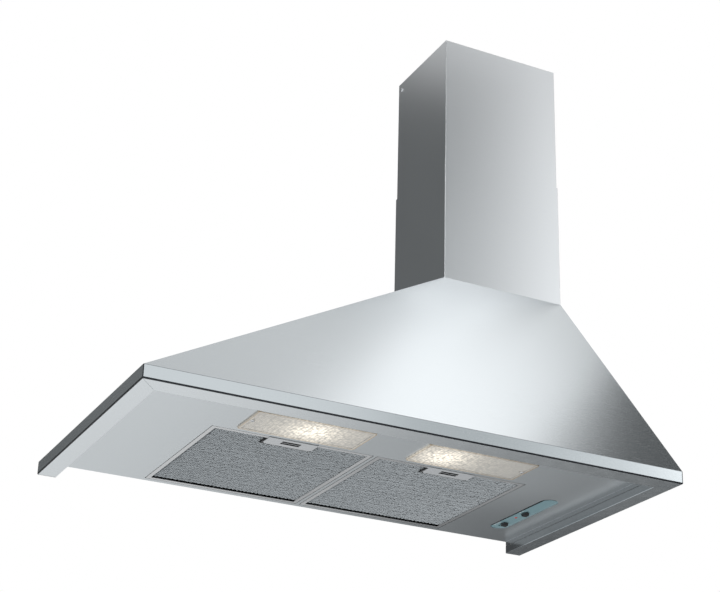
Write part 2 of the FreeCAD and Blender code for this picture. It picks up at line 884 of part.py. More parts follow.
def slider_knob(y):
    """Ribbed slider cap on a square stem."""
    x = control_centre_x
    top = panel_top - knob_gap
    bottom = top - knob_height
    corners = [V(x - knob_width / 2, y - knob_length / 2, top),
               V(x - knob_width / 2, y + knob_length / 2, top),
               V(x - knob_width / 2, y + knob_length / 2 - 2.0, bottom),
               V(x - knob_width / 2, y - knob_length / 2 + 2.0, bottom)]
    cap = prism(corners, V(knob_width, 0, 0))
    grooves = []
    for i in (-1, 0, 1):
        grooves.append(box(x - knob_width, x + knob_width, y + i * 2.2 - 0.4, y + i * 2.2 + 0.4,
                           bottom - 1, bottom + 0.7))
    half = knob_stem / 2
    stem = box(x - half, x + half, y - half, y + half, top - 1, top + knob_stem_reach)
    return fuse_all([cap.cut(fuse_all(grooves)), stem])


def speed_knob():
    """Slider that sets the fan speed."""
    return slider_knob(speed_knob_y())


def lamp_knob():
    """Slider that switches the lamps."""
    return slider_knob(lamp_knob_y())


def indicator_lens():
    """Domed pilot light that stands through the control plate."""
    x = control_centre_x
    y = indicator_y()
    low = panel_top - 1.0
    high = panel_top + control_plate_sheet + indicator_collar_height
    stations = [(0, indicator_radius * 0.6), (indicator_radius / 3, indicator_radius),
                (high - low, indicator_radius)]
    body = turned_bar(V(x, y, low), V(0, 0, 1), stations, small_barrel_sides)
    collar = peg(indicator_radius + 0.8, V(x, y, high - indicator_collar_height), V(x, y, high),
                 small_barrel_sides)
    return fuse_all([body, collar])


def switch_box():
    """Moulded slide-switch block behind the control plate."""
    x = control_centre_x
    z0 = panel_top + control_plate_sheet
    y0 = control_front + switch_box_front_gap
    half = switch_box_width / 2
    block = box(x - half, x + half, y0, y0 + switch_box_length, z0, z0 + switch_box_height)
    depth = z0 + knob_stem_reach
    slots = [knob_slot(speed_knob_y(), speed_knob_travel, z0 - 1, depth),
             knob_slot(lamp_knob_y() - lamp_knob_travel, lamp_knob_travel, z0 - 1, depth)]
    led = peg(indicator_radius + 1.1, V(x, indicator_y(), z0 - 1),
              V(x, indicator_y(), z0 + indicator_collar_height + fit_gap), small_barrel_sides)
    terminals = []
    for i in range(5):
        y = y0 + 22 + i * 26
        terminals.append(box(x - 3, x + 3, y - 0.4, y + 0.4, z0 + switch_box_height - 1,
                             z0 + switch_box_height + 7))
    return fuse_all([block.cut(fuse_all(slots)).cut(led)] + terminals)


# ---------------------------------------------------------------- blower
def scroll_profile(grow, x, top):
    """Volute outline in the YZ plane: three quarter arcs that widen, then the outlet."""
    a = scroll_step
    r1 = scroll_start_radius + grow
    c1 = (fan_y, fan_axis_height)
    c2 = (c1[0] + a, c1[1])
    c3 = (c2[0], c2[1] + a)
    r2 = r1 + a
    r3 = r2 + a
    d = math.sqrt(0.5)

    def at(c, y, z):
        return V(x, c[0] + y, c[1] + z)

    tongue = at(c1, 0, r1)
    cutoff = V(x, c1[0] - grow, c1[1] + r1)
    if grow > 0:
        tongue = at(c1, -grow, math.sqrt(r1 * r1 - grow * grow))
        cutoff = tongue
    front_point = at(c1, -r1, 0)
    mid1 = at(c1, -r1 * d, r1 * d)
    bottom_point = at(c2, 0, -r2)
    back_point = at(c3, r3, 0)
    edges = [
        Part.Arc(tongue, mid1, front_point).toShape(),
        Part.Arc(front_point, at(c2, -r2 * d, -r2 * d), bottom_point).toShape(),
        Part.Arc(bottom_point, at(c3, r3 * d, -r3 * d), back_point).toShape(),
        Part.LineSegment(back_point, V(x, back_point.y, top)).toShape(),
        Part.LineSegment(V(x, back_point.y, top), V(x, cutoff.y, top)).toShape(),
        Part.LineSegment(V(x, cutoff.y, top), tongue).toShape(),
    ]
    return Part.Face(Part.Wire(edges))


def scroll_x(side):
    """X of one end wall's outer face."""
    return chimney_centre + side * scroll_width / 2


def scroll_housing():
    """Moulded volute with two inlets, an open top and a flange to hang it by."""
    w = scroll_wall
    outer = scroll_profile(w, scroll_x(-1), scroll_top).extrude(V(scroll_width, 0, 0))
    inner = scroll_profile(0, scroll_x(-1) + w, scroll_top + 1).extrude(V(scroll_width - 2 * w, 0, 0))
    f = scroll_flange_width
    y0 = fan_y - w
    y1 = scroll_back + w
    flange = box(scroll_x(-1) - f, scroll_x(1) + f, y0 - f, y1, scroll_top - scroll_flange_height,
                 scroll_top)
    inlets = peg(inlet_radius, V(scroll_x(-1) - 1, fan_y, fan_axis_height),
                 V(scroll_x(1) + 1, fan_y, fan_axis_height), inlet_sides)
    shell = fuse_all([outer, flange]).cut(inner).cut(inlets)
    for x, y in scroll_screw_places():
        shell = shell.cut(peg(blower_screw_radius + fit_gap, V(x, y, scroll_top - 10),
                              V(x, y, scroll_top + 1), screw_sides))
    return shell


def scroll_screw_places():
    """Where the four screws hold the scroll's flange to the plate."""
    inset = scroll_flange_width / 2
    places = []
    for side in (-1, 1):
        for y in (fan_y + 6, scroll_back - 8):
            places.append((scroll_x(side) + side * inset, y))
    return places


def inlet_ring(side):
    """Bell-mouthed ring pressed into one inlet of the scroll."""
    x = scroll_x(side)
    t = inlet_ring_wall
    r = inlet_radius
    lip = inlet_ring_lip
    profile = [(-inlet_ring_plug, r - t), (t, r - t), (t + lip * 0.6, r - t + lip * 0.35),
               (t + lip, r - t + lip), (0, r - t + lip), (0, r), (-inlet_ring_plug, r)]
    return turned_ring(V(x, fan_y, fan_axis_height), V(side, 0, 0), profile, inlet_sides)


def impeller():
    """Drum of forward-curved blades between two rings, on a centre disc and hub."""
    c = V(chimney_centre, fan_y, fan_axis_height)
    half = impeller_length / 2
    rings = []
    for side in (-1, 1):
        outer_end = V(c.x + side * half, c.y, c.z)
        inner_end = outer_end - V(side * impeller_ring_sheet, 0, 0)
        rings.append(peg(impeller_radius, outer_end, inner_end, impeller_sides))
        rings[-1] = rings[-1].cut(peg(impeller_radius - impeller_ring_depth, outer_end, inner_end,
                                      impeller_sides))
    disc_half = impeller_disc_sheet / 2
    disc = peg(impeller_radius, V(c.x - disc_half, c.y, c.z), V(c.x + disc_half, c.y, c.z),
               impeller_sides)
    hub_start = V(c.x - impeller_hub_length, c.y, c.z)
    hub = peg(impeller_hub_radius, hub_start, V(c.x + disc_half, c.y, c.z), small_barrel_sides)
    bore = peg(shaft_radius, hub_start - V(1, 0, 0), V(c.x + 5, c.y, c.z), small_barrel_sides)
    blades = []
    for i in range(blade_count):
        blade = fan_blade(c, half)
        blade.rotate(c, V(1, 0, 0), 360.0 * i / blade_count)
        blades.append(blade)
    return fuse_all(rings + [disc, hub] + blades).cut(bore)


def fan_blade(c, half):
    """One blade: a thin strip bent forward at its outer edge."""
    outer = impeller_radius - 1
    inner = outer - blade_depth
    lean = math.radians(blade_angle / 4)
    t = blade_sheet / outer
    bend = [(inner, 0), ((inner + outer) / 2, lean * 0.25), (outer, lean)]

    def at(radius, angle):
        return V(c.x - half + 0.5, c.y + radius * math.cos(angle), c.z + radius * math.sin(angle))

    near = [at(radius, angle) for radius, angle in bend]
    far = [at(radius, angle + t) for radius, angle in reversed(bend)]
    return prism(near + far, V(2 * half - 1, 0, 0))


def motor_x():
    """X of the motor's inner and outer ends."""
    start = chimney_centre + motor_gap
    return start, start + motor_length


def fan_shaft():
    """Steel shaft that carries the impeller's hub and runs in the motor's bearings."""
    start = chimney_centre - impeller_hub_length - 6
    end = motor_x()[1] + 3
    return peg(shaft_radius, V(start, fan_y, fan_axis_height), V(end, fan_y, fan_axis_height),
               small_barrel_sides)


def motor():
    """Motor can with rounded shoulders, cooling slots and seats for the two bearings."""
    x0, x1 = motor_x()
    c0 = V(x0, fan_y, fan_axis_height)
    c1 = V(x1, fan_y, fan_axis_height)
    stations = [(0, motor_radius - motor_chamfer), (motor_chamfer, motor_radius),
                (motor_length - motor_chamfer, motor_radius), (motor_length, motor_radius - motor_chamfer)]
    can = turned_bar(c0, V(1, 0, 0), stations, barrel_sides)
    bore = peg(shaft_radius + 1.5, c0 - V(1, 0, 0), c1 + V(1, 0, 0), small_barrel_sides)
    seats = [peg(bearing_radius, c0 - V(1, 0, 0), c0 + V(bearing_length, 0, 0), small_barrel_sides),
             peg(bearing_radius, c1 - V(bearing_length, 0, 0), c1 + V(1, 0, 0), small_barrel_sides)]
    can = can.cut(fuse_all([bore] + seats))
    slots = []
    for i in range(8):
        slot = box(x0 + 12, x1 - 12, fan_y - 2, fan_y + 2, fan_axis_height + motor_radius - 4,
                   fan_axis_height + motor_radius + 2)
        slot.rotate(V(x0, fan_y, fan_axis_height), V(1, 0, 0), 45.0 * i + 22.5)
        slots.append(slot)
    return can.cut(fuse_all(slots))


def motor_bearings():
    """Plain bearing rings in the two ends of the motor."""
    clear = (shaft_radius + shaft_gap) / math.cos(math.pi / small_barrel_sides)
    rings = []
    for x in (motor_x()[0], motor_x()[1] - bearing_length):
        ends = [V(x, fan_y, fan_axis_height), V(x + bearing_length, fan_y, fan_axis_height)]
        outer = peg(bearing_radius, *ends, small_barrel_sides)
        rings.append(outer.cut(peg(clear, *ends, small_barrel_sides)))
    return Part.makeCompound(rings)


def motor_bracket():
    """Spider that holds the motor in the right inlet: a hub plate, three arms and feet."""
    x1 = motor_x()[1]
    s = spider_sheet
    outer_x = scroll_x(1) + inlet_ring_wall + inlet_ring_lip + fit_gap
    y = fan_y
    z = fan_axis_height
    hub = peg(motor_radius - motor_chamfer, V(x1, y, z), V(x1 + s, y, z), barrel_sides)
    eye = peg(bearing_radius + 2, V(x1 - 1, y, z), V(x1 + s + 1, y, z), small_barrel_sides)
    parts = [hub]
    foot_radius = inlet_radius + inlet_ring_lip + 6
    for i in range(spider_arms):
        arm = fuse_all([
            box(x1, outer_x + s, y - spider_arm_width / 2, y + spider_arm_width / 2,
                z + motor_radius - motor_chamfer - 8, z + motor_radius - motor_chamfer - 8 + s),
            box(outer_x, outer_x + s, y - spider_arm_width / 2, y + spider_arm_width / 2,
                z + motor_radius - motor_chamfer - 8, z + foot_radius + 8),
            box(scroll_x(1), outer_x + s, y - spider_arm_width / 2, y + spider_arm_width / 2,
                z + foot_radius, z + foot_radius + s),
            box(scroll_x(1), scroll_x(1) + s, y - spider_arm_width / 2, y + spider_arm_width / 2,
                z + foot_radius, z + foot_radius + 12),
        ])
        arm.rotate(V(x1, y, z), V(1, 0, 0), 360.0 * i / spider_arms + 60)
        parts.append(arm)
    return fuse_all(parts).cut(eye)


def blower_screws():
    """Screws up through the scroll's flange into the plate."""
    screws = []
    for x, y in scroll_screw_places():
        seat = V(x, y, scroll_top - scroll_flange_height)
        screws.append(hex_screw(seat, V(0, 0, 1), blower_screw_radius, blower_screw_head_radius,
                                scroll_flange_height + plate_sheet + 5))
    return Part.makeCompound(screws)


# ---------------------------------------------------------------- blower plate and outlet
def plate_sides():
    """Low and high X of the blower plate."""
    return chimney_left - plate_side_overhang, chimney_right + plate_side_overhang


def plate_back():
    """Y of the plate's rear flange, against the back panel."""
    return wall - back_sheet


def blower_plate():
    """Shelf across the canopy that carries the blower, fixed to the back panel."""
    x0, x1 = plate_sides()
    y0 = wall - plate_front_setback
    s = plate_sheet
    drop = plate_bottom - plate_flange_drop
    shelf = box(x0, x1, y0, plate_back(), plate_bottom, plate_top)
    rear = box(x0, x1, plate_back() - s, plate_back(), drop, plate_top)
    turned = [box(x0, x0 + s, y0, plate_back(), drop, plate_top),
              box(x1 - s, x1, y0, plate_back(), drop, plate_top)]
    plate = fuse_all([shelf, rear] + turned)
    throat = box(scroll_x(-1) + scroll_wall, scroll_x(1) - scroll_wall, fan_y + 2, scroll_back - 2,
                 plate_bottom - 1, plate_top + 1)
    opening = peg(collar_radius - collar_wall - 1, V(chimney_centre, collar_y, plate_bottom - 1),
                  V(chimney_centre, collar_y, plate_top + 1), collar_sides).common(throat)
    plate = plate.cut(opening)
    for x, y in scroll_screw_places():
        plate = plate.cut(peg(blower_screw_radius, V(x, y, plate_bottom - 1), V(x, y, plate_top + 1),
                              screw_sides))
    for x, y in collar_screw_places():
        plate = plate.cut(peg(blower_screw_radius - 0.5, V(x, y, plate_bottom - 1),
                              V(x, y, plate_top + 1), screw_sides))
    return plate.cut(fuse_all(plate_screw_holes()))


def plate_screw_holes():
    """Holes for the screws that join the plate's rear flange and the back panel."""
    holes = []
    z = plate_bottom - plate_flange_drop / 2
    for i in (-1, 0, 1):
        x = chimney_centre + i * plate_screw_spacing
        holes.append(peg(blower_screw_radius, V(x, plate_back() - 10, z), V(x, wall + 1, z), screw_sides))
    return holes


def plate_screws():
    """Screws through the plate's rear flange into the back panel."""
    screws = []
    z = plate_bottom - plate_flange_drop / 2
    for i in (-1, 0, 1):
        seat = V(chimney_centre + i * plate_screw_spacing, plate_back() - plate_sheet, z)
        screws.append(hex_screw(seat, V(0, 1, 0), blower_screw_radius, blower_screw_head_radius,
                                plate_sheet + back_sheet))
    return Part.makeCompound(screws)


def collar_screw_places():
    """Where the four screws hold the outlet collar to the plate."""
    r = (collar_radius + collar_flange_radius) / 2
    places = []
    for i in range(4):
        angle = math.radians(45 + 90 * i)
        places.append((chimney_centre + r * math.cos(angle), collar_y + r * math.sin(angle)))
    return places


def collar_top():
    """Height of the outlet collar's rim."""
    return plate_top + collar_height


def outlet_collar():
    """Moulded spigot for the duct, with a ledge for the flaps and seats for their pin."""
    x = chimney_centre
    y = collar_y
    z0 = plate_top
    flange = peg(collar_flange_radius, V(x, y, z0), V(x, y, z0 + collar_flange_sheet), collar_sides)
    spigot = rod(collar_radius, V(x, y, z0), V(x, y, collar_top()))
    bore = peg(collar_radius - collar_wall, V(x, y, z0 - 1), V(x, y, collar_top() + 1), collar_sides)
    body = fuse_all([flange, spigot]).cut(bore)
    ledge_top = flap_z() - flap_sheet / 2 - fit_gap
    ledge_ends = [V(x, y, ledge_top - flap_ledge_height), V(x, y, ledge_top)]
    ledge = peg(collar_radius - collar_wall, *ledge_ends, collar_sides)
    ledge = ledge.cut(peg(collar_radius - collar_wall - flap_ledge_width, *ledge_ends, collar_sides))
    body = fuse_all([body, ledge])
    body = body.cut(flap_pin())
    for sx, sy in collar_screw_places():
        body = body.cut(peg(blower_screw_radius - 0.4, V(sx, sy, z0 - 1), V(sx, sy, z0 + 10), screw_sides))
    return body


def collar_screws():
    """Screws that hold the collar's flange to the plate."""
    screws = []
    for x, y in collar_screw_places():
        seat = V(x, y, plate_top + collar_flange_sheet)
        screws.append(hex_screw(seat, V(0, 0, -1), blower_screw_radius - 0.5,
                                blower_screw_head_radius - 1, collar_flange_sheet + plate_sheet + 3))
    return Part.makeCompound(screws)


def flap_z():
    """Height of the back-draught flaps' pin."""
    return plate_top + flap_height


def flap_pin():
    """Straight pin across the collar that both flaps turn on; its ends sit in the wall."""
    reach = collar_radius - collar_wall + flap_pin_seat
    return peg(flap_pin_radius, V(chimney_centre - reach, collar_y, flap_z()),
               V(chimney_centre + reach, collar_y, flap_z()), screw_sides)


def outlet_flap(way):
    """Half-round flap on one side of the pin, with two knuckles round it."""
    x = chimney_centre
    z = flap_z()
    radius = collar_radius - collar_wall - flap_gap
    disc = peg(radius, V(x, collar_y, z - flap_sheet / 2), V(x, collar_y, z + flap_sheet / 2), collar_sides)
    y0, y1 = sorted((collar_y + way * flap_root, collar_y + way * (radius + 1)))
    plate = disc.common(box(x - radius, x + radius, y0, y1, z - flap_sheet, z + flap_sheet))
    knuckles = []
    for i in (-1, 1):
        centre = x + i * 30.0 + way * (flap_knuckle_length / 2 + 0.5)
        a = V(centre - flap_knuckle_length / 2, collar_y, z)
        b = V(centre + flap_knuckle_length / 2, collar_y, z)
        sleeve = peg(flap_knuckle_radius, a, b, screw_sides)
        arm_y = sorted((collar_y, collar_y + way * (flap_root + 1)))
        arm = box(a.x, b.x, arm_y[0], arm_y[1], z - flap_sheet / 2, z + flap_sheet / 2)
        knuckles.append(fuse_all([sleeve, arm]))
    clear = (flap_pin_radius + flap_pin_gap) / math.cos(math.pi / screw_sides)
    hole = peg(clear, V(x - radius, collar_y, z), V(x + radius, collar_y, z), screw_sides)
    return fuse_all([plate] + knuckles).cut(hole)


def capacitor():
    """Round motor capacitor on the blower plate, with its strap foot and two blades."""
    x0 = plate_sides()[0] + 14
    y = wall - plate_front_setback + 26
    z = plate_top + capacitor_radius
    bevel = capacitor_radius / 8
    stations = [(0, capacitor_radius - bevel), (bevel, capacitor_radius),
                (capacitor_length - bevel, capacitor_radius), (capacitor_length, capacitor_radius - bevel)]
    can = turned_bar(V(x0, y, z), V(1, 0, 0), stations, barrel_sides)
    foot = box(x0 + 12, x0 + capacitor_length - 12, y - 9, y + 9, plate_top, z - 8)
    blades = [box(x0 - 7, x0 + 1, y + d - 0.4, y + d + 0.4, z - 3, z + 3) for d in (-5, 5)]
    return fuse_all([can, foot] + blades)


def terminal_box_origin():
    """Low corner of the terminal box on the blower plate."""
    x1 = plate_sides()[1]
    return V(x1 - 6 - terminal_box_size.x, chimney_front - terminal_box_lead, plate_top)


def terminal_box():
    """Open-bottomed connection box that covers the mains terminals."""
    o = terminal_box_origin()
    s = terminal_box_size
    w = terminal_box_wall
    outer = box(o.x, o.x + s.x, o.y, o.y + s.y, o.z, o.z + s.z)
    inner = box(o.x + w, o.x + s.x - w, o.y + w, o.y + s.y - w, o.z - 1, o.z + s.z - w)
    hole = peg(gland_radius - 2.0, gland_foot(), gland_foot() + V(0, 0, 2 * w), small_barrel_sides)
    return outer.cut(inner).cut(hole.translated(V(0, 0, -w - 0.5)))


def gland_foot():
    """Point on the terminal box's roof where the gland stands."""
    o = terminal_box_origin()
    s = terminal_box_size
    return V(o.x + s.x * 0.3, o.y + s.y * 0.7, o.z + s.z)


def terminal_block():
    """Row of screw terminals on the plate, under the box."""
    o = terminal_box_origin()
    s = terminal_box_size
    base = box(o.x + 10, o.x + s.x - 10, o.y + 18, o.y + s.y - 18, o.z, o.z + 6)
    parts = [base]
    for i in range(5):
        x = o.x + 17 + i * 12.5
        parts.append(box(x - 4.5, x + 4.5, o.y + 20, o.y + s.y - 20, o.z + 5, o.z + 14))
    block = fuse_all(parts)
    for i in range(5):
        x = o.x + 17 + i * 12.5
        block = block.cut(peg(terminal_screw_radius, V(x, o.y + s.y / 2, o.z + 8),
                              V(x, o.y + s.y / 2, o.z + 15), screw_sides))
    return block


def cable_gland():
    """Gland for the mains lead: a spigot, a hexagon and a domed nut with an open bore."""
    p = gland_foot()
    spigot = peg(gland_radius - 2.3, p - V(0, 0, terminal_box_wall + 3), p + V(0, 0, 2),
                 small_barrel_sides)
    corners = ring_of_points(p, V(1, 0, 0), V(0, 1, 0), gland_radius * 1.15, 6)
    hexagon = prism(corners, V(0, 0, 6))
    stations = [(6, gland_radius), (gland_height - 4, gland_radius - 0.8), (gland_height, gland_radius - 3.5)]
    dome = turned_bar(p, V(0, 0, 1), stations, small_barrel_sides)
    bore = rod(3.8, p - V(0, 0, 10), p + V(0, 0, gland_height + 1))
    return fuse_all([spigot, hexagon, dome]).cut(bore)


# ---------------------------------------------------------------- chimney
def chimney_section(x0, x1, y0, y1, z0, z1):
    """U-shaped sleeve open towards the wall, with its rear edges turned inwards."""
    t = chimney_sheet
    outer = box(x0, x1, y0, y1, z0, z1)
    inner = box(x0 + t, x1 - t, y0 + t, y1 - t, z0 - 1, z1 + 1)
    back = box(x0 + chimney_return, x1 - chimney_return, y1 - 2 * t, y1 + 1, z0 - 1, z1 + 1)
    sleeve = outer.cut(inner).cut(back)
    corners = [e for e in upright_edges(sleeve)
               if abs(e.Vertexes[0].Point.y - y0) < 1e-6]
    return sleeve.makeFillet(t, corners)


def chimney_tab_place(side):
    """Centre of the tab and screw that hold the lower chimney to the canopy's rim."""
    edge = chimney_left if side < 0 else chimney_right
    return V(edge - side * (chimney_tab_width / 2), chimney_front + chimney_depth * 0.55, canopy_height)


def chimney_screw_hole(side):
    """Hole for the screw in the canopy's top rim."""
    p = chimney_tab_place(side)
    return peg(chimney_screw_radius, p - V(0, 0, 5), p + V(0, 0, 5), screw_sides)


def lower_chimney():
    """Lower sleeve that stands on the canopy's rim and is screwed to it by two tabs."""
    sleeve = chimney_section(chimney_left, chimney_right, chimney_front, wall,
                             canopy_height, canopy_height + lower_chimney_height)
    tabs = []
    for side in (-1, 1):
        p = chimney_tab_place(side)
        edge = chimney_left if side < 0 else chimney_right
        x0, x1 = sorted((edge, edge - side * chimney_tab_width))
        tab = box(x0, x1, p.y - chimney_tab_length / 2, p.y + chimney_tab_length / 2,
                  canopy_height, canopy_height + chimney_sheet)
        tabs.append(tab.cut(chimney_screw_hole(side)))
    return fuse_all([sleeve] + tabs)


def chimney_screws():
    """Screws down through the lower chimney's tabs into the canopy's rim."""
    screws = []
    for side in (-1, 1):
        p = chimney_tab_place(side) + V(0, 0, chimney_sheet)
        screws.append(pan_screw(p, V(0, 0, -1), chimney_screw_radius,
                                chimney_screw_head_radius, canopy_sheet + chimney_sheet + 3))
    return Part.makeCompound(screws)


def upper_box():
    """X and Y limits of the upper chimney, inside the lower one."""
    step = chimney_sheet + chimney_slide_gap
    return chimney_left + step, chimney_right - step, chimney_front + step, wall - step


def bracket_screw_place(side):
    """Point on the upper chimney's side where it is screwed to the wall bracket."""
    x0, x1, _, y1 = upper_box()
    x = x0 if side < 0 else x1
    return V(x, y1 - chimney_sheet - bracket_sheet - bracket_ear_length / 2,
             hood_height - bracket_screw_drop)


def upper_chimney():
    """Upper sleeve that slides inside the lower one to reach the ceiling."""
    x0, x1, y0, y1 = upper_box()
    sleeve = chimney_section(x0, x1, y0, y1, hood_height - upper_chimney_length, hood_height)
    for side in (-1, 1):
        p = bracket_screw_place(side)
        sleeve = sleeve.cut(peg(chimney_screw_radius, p - V(5, 0, 0), p + V(5, 0, 0), screw_sides))
    return sleeve


def chimney_bracket():
    """Wall bracket at the chimney's top: a strip on the wall with an ear at each side."""
    x0, x1, _, y1 = upper_box()
    s = bracket_sheet
    z1 = hood_height - bracket_screw_drop + bracket_height / 2
    z0 = z1 - bracket_height
    ear_back = y1 - chimney_sheet
    strip_x0 = x0 + chimney_return + 1.0
    strip_x1 = x1 - chimney_return - 1.0
    parts = [box(strip_x0, strip_x1, wall - s, wall, z0, z1)]
    for side in (-1, 1):
        inner = strip_x0 if side < 0 else strip_x1
        edge = (x0 + chimney_sheet) if side < 0 else (x1 - chimney_sheet)
        a, b = sorted((inner, inner - side * s))
        parts.append(box(a, b, ear_back - s, wall, z0, z1))
        a, b = sorted((inner - side * s, edge))
        parts.append(box(a, b, ear_back - s, ear_back, z0, z1))
        a, b = sorted((edge, edge - side * s))
        parts.append(box(a, b, ear_back - s - bracket_ear_length, ear_back, z0, z1))
    bracket = fuse_all(parts)
    for side in (-1, 1):
        p = bracket_screw_place(side)
        bracket = bracket.cut(peg(chimney_screw_radius, p - V(5, 0, 0), p + V(5, 0, 0), screw_sides))
        x = chimney_centre + side * bracket_hole_spacing / 2
        z = (z0 + z1) / 2
        bracket = bracket.cut(rod(bracket_hole_radius, V(x, wall - 5, z), V(x, wall + 1, z)))
    return bracket


def bracket_screws():
    """Screws from outside through the upper chimney into the bracket's ears."""
    screws = []
    for side in (-1, 1):
        p = bracket_screw_place(side)
        screws.append(pan_screw(p, V(-side, 0, 0), chimney_screw_radius,
                                chimney_screw_head_radius, chimney_sheet + bracket_sheet + 4))
    return Part.makeCompound(screws)


# ---------------------------------------------------------------- all pieces
def pieces():
    """Every node's name and shape."""
    made = {
        "canopy_shell": canopy_shell(),
        "back_panel": back_panel(),
        "underside_panel": underside_panel(),
        "lens_screws": lens_screws(),
        "control_plate": control_plate(),
        "speed_knob": speed_knob(),
        "lamp_knob": lamp_knob(),
        "indicator_lens": indicator_lens(),
        "switch_box": switch_box(),
        "scroll_housing": scroll_housing(),
        "impeller": impeller(),
        "fan_shaft": fan_shaft(),
        "motor": motor(),
        "motor_bearings": motor_bearings(),
        "motor_bracket": motor_bracket(),
        "blower_screws": blower_screws(),
        "blower_plate": blower_plate(),
        "plate_screws": plate_screws(),
        "outlet_collar": outlet_collar(),
        "collar_screws": collar_screws(),
        "flap_pin": flap_pin(),
        "front_flap": outlet_flap(-1),
        "rear_flap": outlet_flap(1),
        "capacitor": capacitor(),
        "terminal_box": terminal_box(),
        "terminal_block": terminal_block(),
        "cable_gland": cable_gland(),
        "lower_chimney": lower_chimney(),
        "chimney_screws": chimney_screws(),
        "upper_chimney": upper_chimney(),
        "chimney_bracket": chimney_bracket(),
        "bracket_screws": bracket_screws(),
    }
    for name, side in (("left", -1), ("right", 1)):
        made["filter_frame_" + name] = filter_frame(side)
        made["filter_mesh_" + name] = filter_mesh(side)
        made["filter_core_" + name] = filter_core(side)
        made["latch_guide_" + name] = latch_guide(side)
        made["filter_latch_" + name] = filter_latch(side)
        made["latch_spring_" + name] = latch_spring(side)
        made["lamp_housing_" + name] = lamp_housing(side)
        made["lamp_socket_" + name] = lamp_socket(side)
        made["lamp_bulb_" + name] = lamp_bulb(side)
        made["lamp_cap_" + name] = lamp_cap(side)
        made["lamp_lens_" + name] = lamp_lens(side)
        made["inlet_ring_" + name] = inlet_ring(side)
    return made


os.makedirs("parts", exist_ok=True)
for node, shape in pieces().items():
    shape.exportStep("parts/" + node + ".step")
    print(node, "solids", len(shape.Solids), "volume", round(shape.Volume, 1), "valid", shape.isValid())
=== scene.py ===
import math
import random

import bmesh
import bpy
from mathutils import Matrix, Quaternion, Vector


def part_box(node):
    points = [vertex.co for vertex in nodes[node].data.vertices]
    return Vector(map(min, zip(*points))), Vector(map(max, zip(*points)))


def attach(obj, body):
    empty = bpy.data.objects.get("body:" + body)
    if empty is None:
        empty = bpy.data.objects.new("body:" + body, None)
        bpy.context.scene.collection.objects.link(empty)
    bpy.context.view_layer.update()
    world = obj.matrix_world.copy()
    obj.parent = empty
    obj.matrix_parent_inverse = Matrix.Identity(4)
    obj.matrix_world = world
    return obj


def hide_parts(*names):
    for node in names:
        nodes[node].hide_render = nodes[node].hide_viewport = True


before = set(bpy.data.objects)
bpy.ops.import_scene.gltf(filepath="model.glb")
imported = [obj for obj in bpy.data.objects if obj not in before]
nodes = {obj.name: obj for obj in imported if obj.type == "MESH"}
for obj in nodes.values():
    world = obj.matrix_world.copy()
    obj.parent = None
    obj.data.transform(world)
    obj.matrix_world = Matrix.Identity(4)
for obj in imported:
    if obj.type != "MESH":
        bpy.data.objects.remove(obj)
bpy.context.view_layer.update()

# ---------------------------------------------------------------- canopy
# The canopy is one shell of brushed stainless sheet, about a millimetre thick: a sloped pyramid over
# an upright band, with a flange turned in under the band. It is folded, and welded at the corners.
STAINLESS = (0.630, 0.665, 0.686)
CANOPY_ROUGHNESS = 0.26
GRAIN_LINES = 1600.0
GRAIN_ALONG = 45.0
GRAIN_RELIEF = 0.00002
CLOUD_SCALE = 5.0
CLOUD_SHARE = 0.35
SPECKLE_SCALE = 900.0
SPECKLE_SHARE = 0.8
GRAIN_MIDDLE = 1.07
ROUGHNESS_SWING = 0.06
# Painted shade: a dark line along the band's lower bend and corners, and a grey one along the fold above.
FOLD_SHADE = (0.035, 0.038, 0.042)
BAND_EDGE = 0.0027
EDGE_DEPTH = 0.0013
FOLD_HALF = 0.0005
FOLD_SHADE_GREY = (0.30, 0.315, 0.33)
# Painted shade: the turned-down sides inside the canopy and the panel are greyer.
RETURN_SHADE = (0.26, 0.275, 0.285)
RETURN_HALF = 0.0022
RETURN_FOOT = 0.0010


def shader_node(tree, kind, **values):
    """A node of that kind; each value sets an attribute of the node or the socket of that name."""
    made = tree.nodes.new(kind)
    for key, value in values.items():
        name = key.replace("_", " ")
        sockets = [s for s in made.inputs if s.name.lower() == name.lower() and s.enabled]
        if hasattr(made, key):
            setattr(made, key, value)
        elif isinstance(value, bpy.types.NodeSocket):
            tree.links.new(value, sockets[0])
        else:
            sockets[0].default_value = value
    return made


def math_node(tree, operation, first, second=0.0):
    """Result of one arithmetic step on two sockets or numbers."""
    made = tree.nodes.new("ShaderNodeMath")
    made.operation = operation
    for socket, value in zip(made.inputs, (first, second)):
        if isinstance(value, bpy.types.NodeSocket):
            tree.links.new(value, socket)
        else:
            socket.default_value = value
    return made.outputs[0]


def colour_mix(tree, blend, factor, first, second):
    """Two colours, as sockets or values, joined by a blend mode."""
    made = tree.nodes.new("ShaderNodeMix")
    made.data_type = "RGBA"
    made.blend_type = blend
    for socket, value in zip((made.inputs[0], made.inputs[6], made.inputs[7]), (factor, first, second)):
        if isinstance(value, bpy.types.NodeSocket):
            tree.links.new(value, socket)
        elif socket.type == "RGBA":
            socket.default_value = (*value, 1.0)
        else:
            socket.default_value = value
    return made.outputs[2]


def effect_group(name, inputs, outputs):
    """An empty shader node group; inputs give each socket's default, outputs each socket's type."""
    tree = bpy.data.node_groups.new(name, "ShaderNodeTree")
    for label, default in inputs.items():
        kind = "NodeSocketColor" if isinstance(default, tuple) else "NodeSocketFloat"
        socket = tree.interface.new_socket(label, in_out="INPUT", socket_type=kind)
        socket.default_value = (*default, 1.0) if isinstance(default, tuple) else default
    for label, kind in outputs.items():
        tree.interface.new_socket(label, in_out="OUTPUT", socket_type=kind)
    return tree, tree.nodes.new("NodeGroupInput"), tree.nodes.new("NodeGroupOutput")


